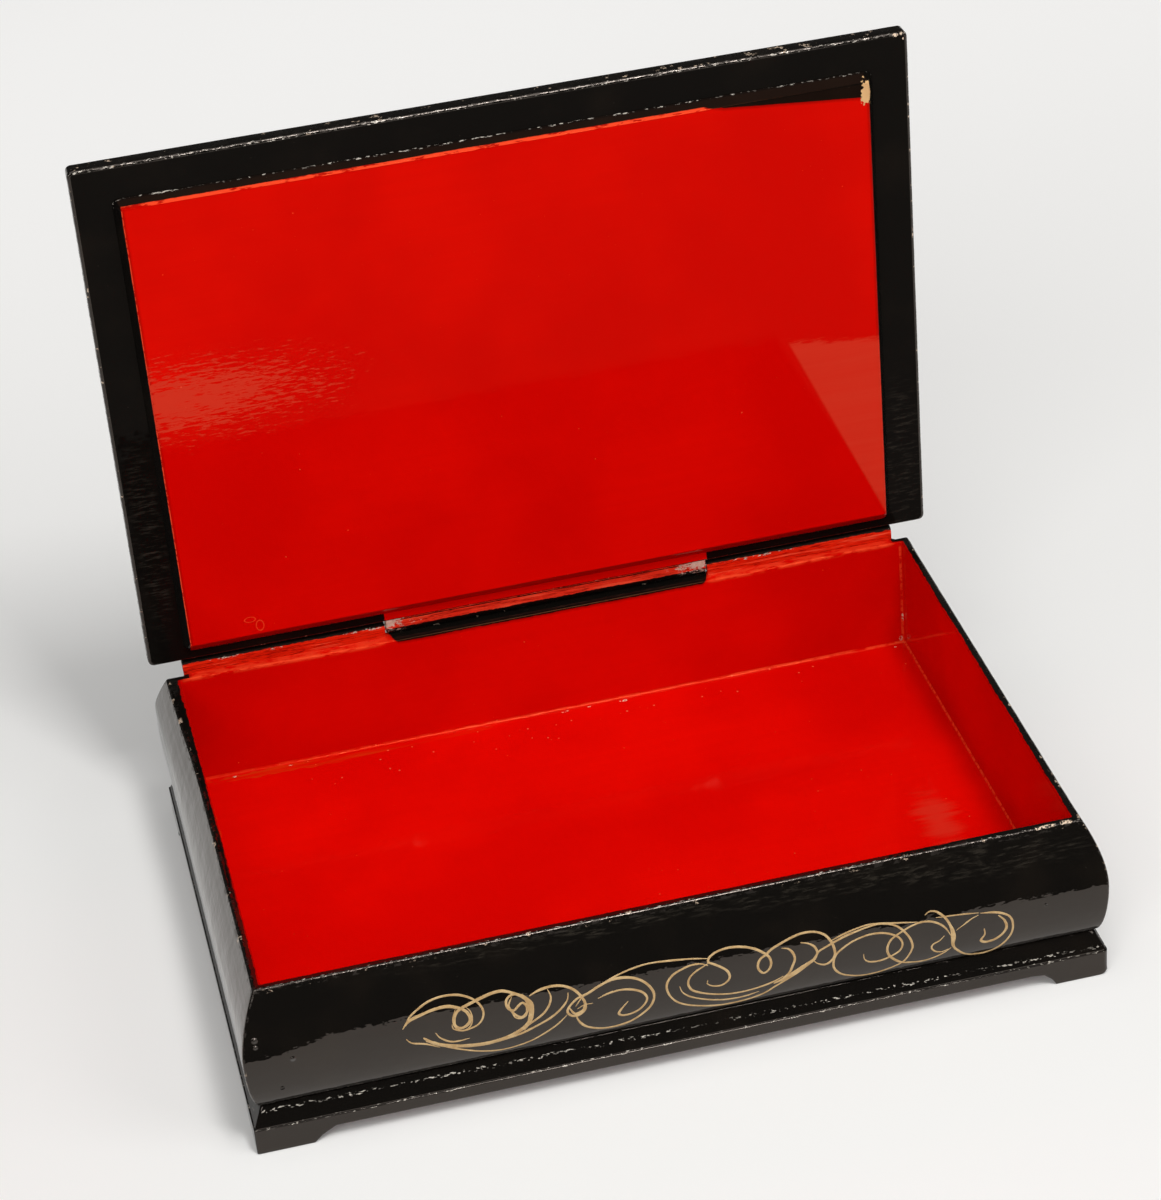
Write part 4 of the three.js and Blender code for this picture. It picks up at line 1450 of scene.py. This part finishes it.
# Section of a stroke: share of its half width, and height in mm
RIBBON = [(-1.0, -0.06), (-0.75, 0.035), (0.0, 0.06), (0.75, 0.035), (1.0, -0.06), (0.0, -0.09)]
SCROLL = {
    "knot_again": (0.6, [
        (511.7, 996.9), (508.9, 1006.8), (515.9, 1015.3), (523.0, 1016.7), (528.6, 1008.2),
        (524.4, 998.3), (517.3, 995.5),
    ]),
    "knot_swell": (1.1, [
        (521.6, 994.6), (530.6, 1003.4), (531.6, 1013.0), (529.4, 1022.3), (524.4, 1030.2),
    ]),
    "curl_again": (0.4, [
        (455.3, 1009.6), (452.9, 1019.3), (455.1, 1027.2), (461.1, 1030.8), (468.0, 1029.0),
        (472.2, 1022.3), (470.8, 1012.4), (465.2, 1006.8),
    ]),
    "bridge_knot": (0.9, [(569.5, 1008.2), (575.2, 1013.9), (583.2, 1010.6), (585.1, 1002.6)]),
    "first_curl": (0.75, [
        (402.7, 1029.7), (408.8, 1021.6), (420.8, 1015.4), (433.7, 1009.9), (446.7, 1006.8),
        (457.9, 1008.2), (466.5, 1012.0), (470.4, 1019.4), (467.3, 1025.4), (461.3, 1028.4),
        (455.3, 1026.3), (454.4, 1020.3), (456.1, 1013.4), (461.3, 1008.6), (469.0, 1004.4),
        (481.1, 998.2), (491.4, 993.6), (501.8, 991.2), (512.1, 993.1), (522.4, 997.0),
        (529.7, 1003.9), (532.2, 1013.4), (531.0, 1020.3), (525.9, 1027.2), (515.5, 1033.7),
        (501.8, 1039.2), (484.5, 1043.5), (467.3, 1045.6), (451.8, 1045.6), (436.3, 1043.9),
        (424.3, 1038.3),
    ]),
    "outer_arc": (0.5, [
        (406.2, 1026.3), (408.8, 1018.5), (417.4, 1009.9), (427.7, 1002.2), (439.8, 997.2),
        (454.4, 995.1), (465.6, 996.7), (475.9, 1001.3), (482.5, 1009.1), (483.3, 1016.8),
        (479.4, 1023.7), (471.6, 1028.4), (462.2, 1030.9), (453.5, 1029.2), (452.2, 1024.6),
    ]),
    "knot": (0.65, [
        (525.9, 997.0), (518.1, 994.4), (510.4, 995.8), (506.1, 1001.3), (507.8, 1008.2),
        (513.8, 1010.8), (518.1, 1006.5), (522.4, 1003.0), (526.7, 1006.5), (526.7, 1014.2),
        (521.6, 1018.5), (515.5, 1017.7), (512.1, 1012.5),
    ]),
    "bridge": (0.68, [
        (529.3, 996.2), (537.9, 991.0), (548.3, 987.2), (558.6, 985.8), (568.9, 987.6),
        (577.5, 992.7), (584.4, 1001.3), (585.3, 1009.1), (579.2, 1015.1), (572.4, 1016.0),
        (567.7, 1012.5), (569.8, 1006.5), (577.5, 998.7), (587.9, 993.6), (599.9, 985.8),
        (612.0, 979.8), (625.7, 977.7), (637.8, 979.3), (648.1, 985.0), (654.2, 994.4),
        (651.6, 1004.8), (643.0, 1013.4), (630.9, 1021.1), (615.4, 1026.3), (599.9, 1028.4),
        (586.1, 1026.3), (578.4, 1020.3), (576.1, 1013.4),
    ]),
    "link": (0.45, [
        (575.8, 1006.5), (582.7, 997.0), (591.3, 991.0), (601.6, 984.6), (615.4, 976.4),
        (627.5, 970.7), (641.2, 965.7), (653.3, 962.9), (670.5, 960.9), (690.0, 959.2),
        (708.0, 958.8),
    ]),
    "inner_spiral": (0.6, [
        (598.2, 998.7), (608.5, 993.6), (620.6, 990.1), (632.6, 989.8), (643.0, 992.7),
        (647.3, 998.7), (643.0, 1006.5), (634.3, 1012.5), (624.0, 1015.4), (618.9, 1013.7),
        (622.3, 1008.2), (628.3, 1001.3),
    ]),
    "feather_1": (0.6, [
        (547.4, 989.3), (550.8, 997.0), (549.1, 1005.6), (543.1, 1014.2), (532.8, 1022.0),
        (522.4, 1028.9), (506.9, 1036.6),
    ]),
    "feather_2": (0.62, [
        (568.1, 992.7), (567.2, 1000.5), (560.3, 1009.9), (550.0, 1018.5), (537.9, 1025.4),
        (522.4, 1033.2), (505.2, 1039.2), (484.5, 1044.4),
    ]),
    "feather_3": (0.5, [
        (567.2, 1015.1), (558.6, 1023.7), (546.5, 1032.3), (531.0, 1040.9), (513.8, 1047.0),
        (498.3, 1050.4), (481.1, 1051.3), (463.9, 1049.9), (446.7, 1047.0), (426.0, 1041.8),
    ]),
    "left_keel": (1.05, [
        (423.4, 1038.3), (432.0, 1042.7), (446.7, 1046.1), (463.9, 1046.1), (484.5, 1044.0),
        (505.2, 1038.3), (522.4, 1028.9), (530.2, 1019.4),
    ]),
    "spur": (0.5, [
        (435.5, 1033.2), (440.6, 1038.3), (450.1, 1041.8), (458.7, 1041.3), (469.9, 1038.3),
    ]),
    "tail": (0.5, [(406.2, 1039.6), (412.2, 1043.5), (426.0, 1044.4), (439.8, 1047.5)]),
    "tick": (0.4, [(577.5, 1009.1), (584.4, 1005.1), (592.7, 1003.4)]),
    "big_oval": (0.55, [
        (708.0, 966.0), (701.0, 964.2), (691.4, 965.4), (681.7, 969.7), (673.2, 975.1),
        (667.7, 982.4), (667.1, 989.7), (670.8, 996.9), (678.0, 1002.4), (688.9, 1005.2),
        (703.5, 1006.0), (718.0, 1005.4), (732.6, 1003.0), (749.5, 998.8), (764.1, 993.3),
        (776.2, 986.0), (788.3, 978.8), (798.0, 972.7), (807.7, 965.4), (814.9, 959.4),
        (818.6, 952.1), (825.9, 947.3), (834.3, 942.4), (845.0, 936.4), (855.5, 931.2),
    ]),
    "second_oval": (0.55, [
        (708.5, 963.6), (696.2, 971.5), (690.1, 977.6), (688.3, 983.6), (691.4, 989.7),
        (699.8, 992.7), (713.2, 994.3), (730.1, 993.9), (747.1, 990.9), (761.6, 986.6),
        (773.8, 981.8), (783.4, 976.3),
    ]),
    "third_arc": (0.5, [
        (679.8, 986.6), (682.3, 992.1), (688.9, 996.3), (699.8, 998.8), (713.2, 1000.0),
        (727.7, 999.4), (744.7, 996.3), (759.2, 991.5),
    ]),
    "s_curl": (0.6, [
        (708.0, 980.6), (707.1, 983.6), (712.0, 986.0), (720.4, 985.8), (726.5, 982.4),
        (729.9, 977.6), (727.7, 971.5), (721.0, 967.3), (713.2, 964.2), (708.3, 962.4),
        (709.5, 957.6), (715.6, 952.7), (724.1, 949.1), (733.8, 947.3), (744.7, 947.3),
        (754.4, 949.1), (762.8, 952.7), (768.9, 957.0), (771.3, 963.0), (769.5, 969.1),
        (764.1, 973.3), (759.2, 970.3), (758.0, 965.4), (760.4, 959.4), (765.9, 955.1),
        (771.3, 949.7), (781.0, 943.6), (791.9, 937.6), (802.8, 933.3), (814.9, 932.1),
        (824.6, 935.1), (830.7, 941.2), (834.3, 948.5), (834.9, 955.7), (830.7, 961.8),
        (824.6, 964.8), (817.4, 963.6), (813.7, 960.6),
    ]),
    "plume_1": (0.65, [
        (781.6, 948.5), (788.3, 949.1), (793.1, 953.3), (795.0, 959.4), (792.5, 966.6),
        (789.5, 972.7), (782.2, 978.8),
    ]),
    "plume_2": (0.6, [
        (800.4, 943.0), (807.7, 943.6), (814.3, 946.7), (817.4, 952.1), (815.6, 957.0),
        (810.1, 963.0), (798.0, 970.3), (783.4, 977.6),
    ]),
    "middle_keel": (1.15, [
        (773.8, 983.6), (783.4, 979.4), (793.1, 973.9), (802.8, 967.3), (812.5, 960.0),
    ]),
    "upper_line": (0.45, [
        (830.0, 941.6), (833.8, 939.6), (842.8, 934.8), (855.5, 929.2), (868.3, 925.0),
        (881.0, 923.6), (893.8, 923.3), (906.5, 922.8), (918.0, 922.4),
    ]),
    "outer_loop": (0.55, [
        (832.6, 942.8), (842.8, 937.7), (855.5, 932.0), (868.3, 927.1), (878.5, 924.3),
        (887.4, 924.1), (896.3, 926.2), (904.0, 931.4), (910.4, 939.0), (912.7, 947.3),
        (908.4, 956.2), (902.1, 962.6), (891.2, 967.7), (877.2, 972.4), (860.6, 975.6),
        (845.3, 975.1), (836.4, 971.1), (833.6, 964.5), (836.4, 954.9), (845.3, 946.7),
        (855.5, 940.3), (868.3, 935.2), (881.0, 933.3), (891.2, 934.5), (898.9, 937.7),
        (902.7, 943.5), (900.8, 949.8), (895.1, 954.3), (886.1, 958.8), (878.5, 961.3),
        (869.5, 962.0), (864.7, 959.4), (863.8, 954.3),
    ]),
    "small_loop": (0.55, [
        (909.1, 962.0), (901.4, 962.6), (893.8, 959.4), (888.9, 954.9), (887.4, 948.6),
        (890.6, 940.9), (896.3, 935.8), (904.0, 930.7), (911.6, 926.2), (921.8, 922.4),
        (930.8, 921.8), (939.7, 924.3), (946.1, 928.8), (951.2, 935.8),
    ]),
    "under_arc": (0.5, [
        (889.9, 956.2), (901.4, 962.2), (912.9, 962.3), (924.4, 960.7), (935.9, 956.9),
        (944.8, 952.4), (951.2, 947.9),
    ]),
    "hook": (0.5, [
        (944.8, 935.8), (939.7, 940.9), (933.3, 944.7), (931.8, 948.6), (935.9, 951.8),
        (942.2, 951.8), (948.6, 949.2),
    ]),
    "crest": (0.6, [
        (925.0, 915.4), (929.5, 911.8), (935.9, 911.8), (942.2, 915.4), (947.3, 920.5),
        (951.8, 928.2), (954.4, 937.1), (953.7, 946.0), (958.2, 950.7), (965.2, 953.9),
        (974.1, 954.3), (985.6, 952.4), (997.1, 947.6), (1006.0, 940.9), (1012.1, 932.0),
        (1013.0, 923.1), (1010.1, 916.9), (1003.5, 913.8), (994.5, 912.6), (980.5, 913.5),
    ]),
    "crest_body": (1.35, [
        (948.6, 922.5), (952.2, 929.5), (953.6, 937.1), (953.2, 944.5), (955.5, 949.5),
    ]),
    "top_line": (0.4, [
        (935.9, 918.0), (944.8, 916.9), (957.6, 915.2), (970.3, 913.9), (979.2, 913.2),
    ]),
    "cross_line": (0.42, [(956.3, 930.7), (963.9, 925.0), (971.6, 919.2), (978.6, 915.4)]),
    "last_spiral": (0.75, [
        (984.3, 928.8), (985.0, 934.5), (981.1, 940.3), (985.6, 942.2), (994.5, 939.6),
        (1002.2, 934.5), (1006.7, 927.5), (1004.7, 920.5), (998.4, 915.4),
    ]),
}


def smooth_path(points, step):
    """Points at even steps on a smooth curve through the given ones (Catmull-Rom)."""
    points = [np.array(p) for p in points]
    ends = [2 * points[0] - points[1]] + points + [2 * points[-1] - points[-2]]
    path = []
    for k in range(1, len(ends) - 2):
        a, b, c, d = ends[k - 1:k + 3]
        count = max(1, int(np.linalg.norm(c - b) / step))
        for t in np.arange(count) / count:
            path.append(0.5 * (
                2 * b + (c - a) * t + (2 * a - 5 * b + 4 * c - d) * t * t
                + (3 * b - a - 3 * c + d) * t ** 3
            ))
    path.append(points[-1])
    return path


def front_normal(height):
    """Outward normal of the front wall's outer face at a height."""
    step = 0.05 * MM
    height = min(max(height, PLINTH_TOP + step), RIM_HEIGHT - step)
    slope = (outer_face(height + step) - outer_face(height - step)) / (2 * step)
    return Vector((0, -1, -slope)).normalized()


def make_scroll():
    """All the strokes as thin raised ribbons of paint that follow the bulge."""
    points, faces = [], []
    for number, (width, pixels) in enumerate(SCROLL.values()):
        path = [on_front(*p) for p in smooth_path(pixels, 1.6)]
        path = [p + Vector((0, planed(p), 0)) for p in path]
        count, base = len(path), len(points)
        for k, place in enumerate(path):
            along = (path[min(k + 1, count - 1)] - path[max(k - 1, 0)]).normalized()
            normal = front_normal(place.z)
            across = normal.cross(along).normalized()
            # A stroke starts and ends on the tip of the brush and swells with its pressure
            tip = min(1.0, 0.35 + 0.65 * min(k, count - 1 - k) / 7)
            press = 1 + 0.22 * wobble((k * 0.4 * MM, number, 0), 0.006, 17.0)
            press += 0.10 * wobble((k * 0.4 * MM, number, 1), 0.0015, 19.0)
            half = STROKE_WIDTH * width * MM / 2 * tip * press
            lift = (0.007 * (number % 3) - 0.02) * MM
            for a, b in RIBBON:
                points.append(place + across * a * half + normal * (b * MM + lift))
        faces += [tuple(base + v for v in f) for f in tube_faces(count, len(RIBBON))]
    add_piece("gold_scroll", points, faces, [GOLD], "box", None, sharp=80)


make_scroll()


# Studio: pale floor, dark room above it, soft top light and two soft boxes

def make_floor_plane():
    n = Nodes(bpy.data.materials.new("studio_floor"))
    place = n.place()
    tone = n.noise(place, 3.0, 3)
    rays = n.add("LightPath").outputs
    mirrored = n.math("MAXIMUM", rays["Is Glossy Ray"], rays["Is Transmission Ray"])
    seen = n.math("MAXIMUM", rays["Is Camera Ray"], mirrored)
    behind = n.add("SeparateXYZ", {0: place}).outputs[1]
    n.finish({
        "Base Color": n.mix(tone, *STUDIO_FLOOR), "Roughness": 0.9, "Specular IOR Level": 0.1,
        "Emission Color": (1.0, 1.0, 1.0),
        "Emission Strength": n.times(seen, n.ramp(behind, 0.0, 0.6, 0.07, 0.30)),
    })
    reach = 40.0
    mesh = bpy.data.meshes.new("studio_floor")
    corners = [(-reach, -reach, 0), (reach, -reach, 0), (reach, reach, 0), (-reach, reach, 0)]
    mesh.from_pydata(corners, [], [(0, 1, 2, 3)])
    mesh.materials.append(n.owner)
    plane = bpy.data.objects.new("studio_floor", mesh)
    bpy.context.scene.collection.objects.link(plane)
    plane.location.z = -0.01 * MM


def direction_from(azimuth, elevation):
    """Direction towards a lamp: azimuth 0 is in front of the box, 90 to its right."""
    a, e = math.radians(azimuth), math.radians(elevation)
    return Vector((math.sin(a) * math.cos(e), -math.cos(a) * math.cos(e), math.sin(e)))


def add_lamp(name, data, azimuth, elevation, distance):
    lamp = bpy.data.objects.new(name, data)
    bpy.context.scene.collection.objects.link(lamp)
    towards = direction_from(azimuth, elevation)
    lamp.location = Vector((0, 0, 0.05)) + towards * distance
    lamp.rotation_euler = towards.to_track_quat("Z", "Y").to_euler()
    lamp.visible_camera = False


def soft_box(name, azimuth, elevation, distance, width, height, lux):
    """Area lamp that gives the box the given strength of light, seen square on."""
    data = bpy.data.lights.new(name, "AREA")
    data.shape = "RECTANGLE"
    data.size = width
    data.size_y = height
    data.energy = lux * math.pi * distance ** 2
    add_lamp(name, data, azimuth, elevation, distance)


# Azimuth, elevation, distance, width, height and lux
SOFT_BOXES = {
    "left_box": (-30, 35, 1.6, 0.8, 0.8, 0.85),
    "right_box": (50, 35, 1.6, 0.8, 0.8, 0.62),
    "key_box": (19.5, 62, 1.8, 0.3, 0.6, 1.30),
}


def make_lights():
    top = bpy.data.lights.new("top_light", "SUN")
    top.energy = 0.85
    top.angle = math.radians(50)
    add_lamp("top_light", top, -20, 80, 3)
    for name, values in SOFT_BOXES.items():
        soft_box(name, *values)


# The room's colour, and its strength: two heights of the line of sight, then the strengths
ROOM_COLOUR = (1.0, 0.98, 0.95)
ROOM_LIGHT = (0.0, 0.03, 0.25, 0.045)


def make_world():
    """Dark room, a little lighter just above the level of the table."""
    world = bpy.data.worlds.new("studio_room")
    bpy.context.scene.world = world
    n = Nodes(world)
    height = n.add("SeparateXYZ", {0: n.add("TexCoord").outputs["Generated"]}).outputs["Z"]
    sky = n.add("Background", {"Color": ROOM_COLOUR, "Strength": n.ramp(height, *ROOM_LIGHT)})
    n.add("OutputWorld", {0: sky.outputs[0]})


make_floor_plane()
make_lights()
make_world()
bpy.context.scene.view_settings.view_transform = "Standard"
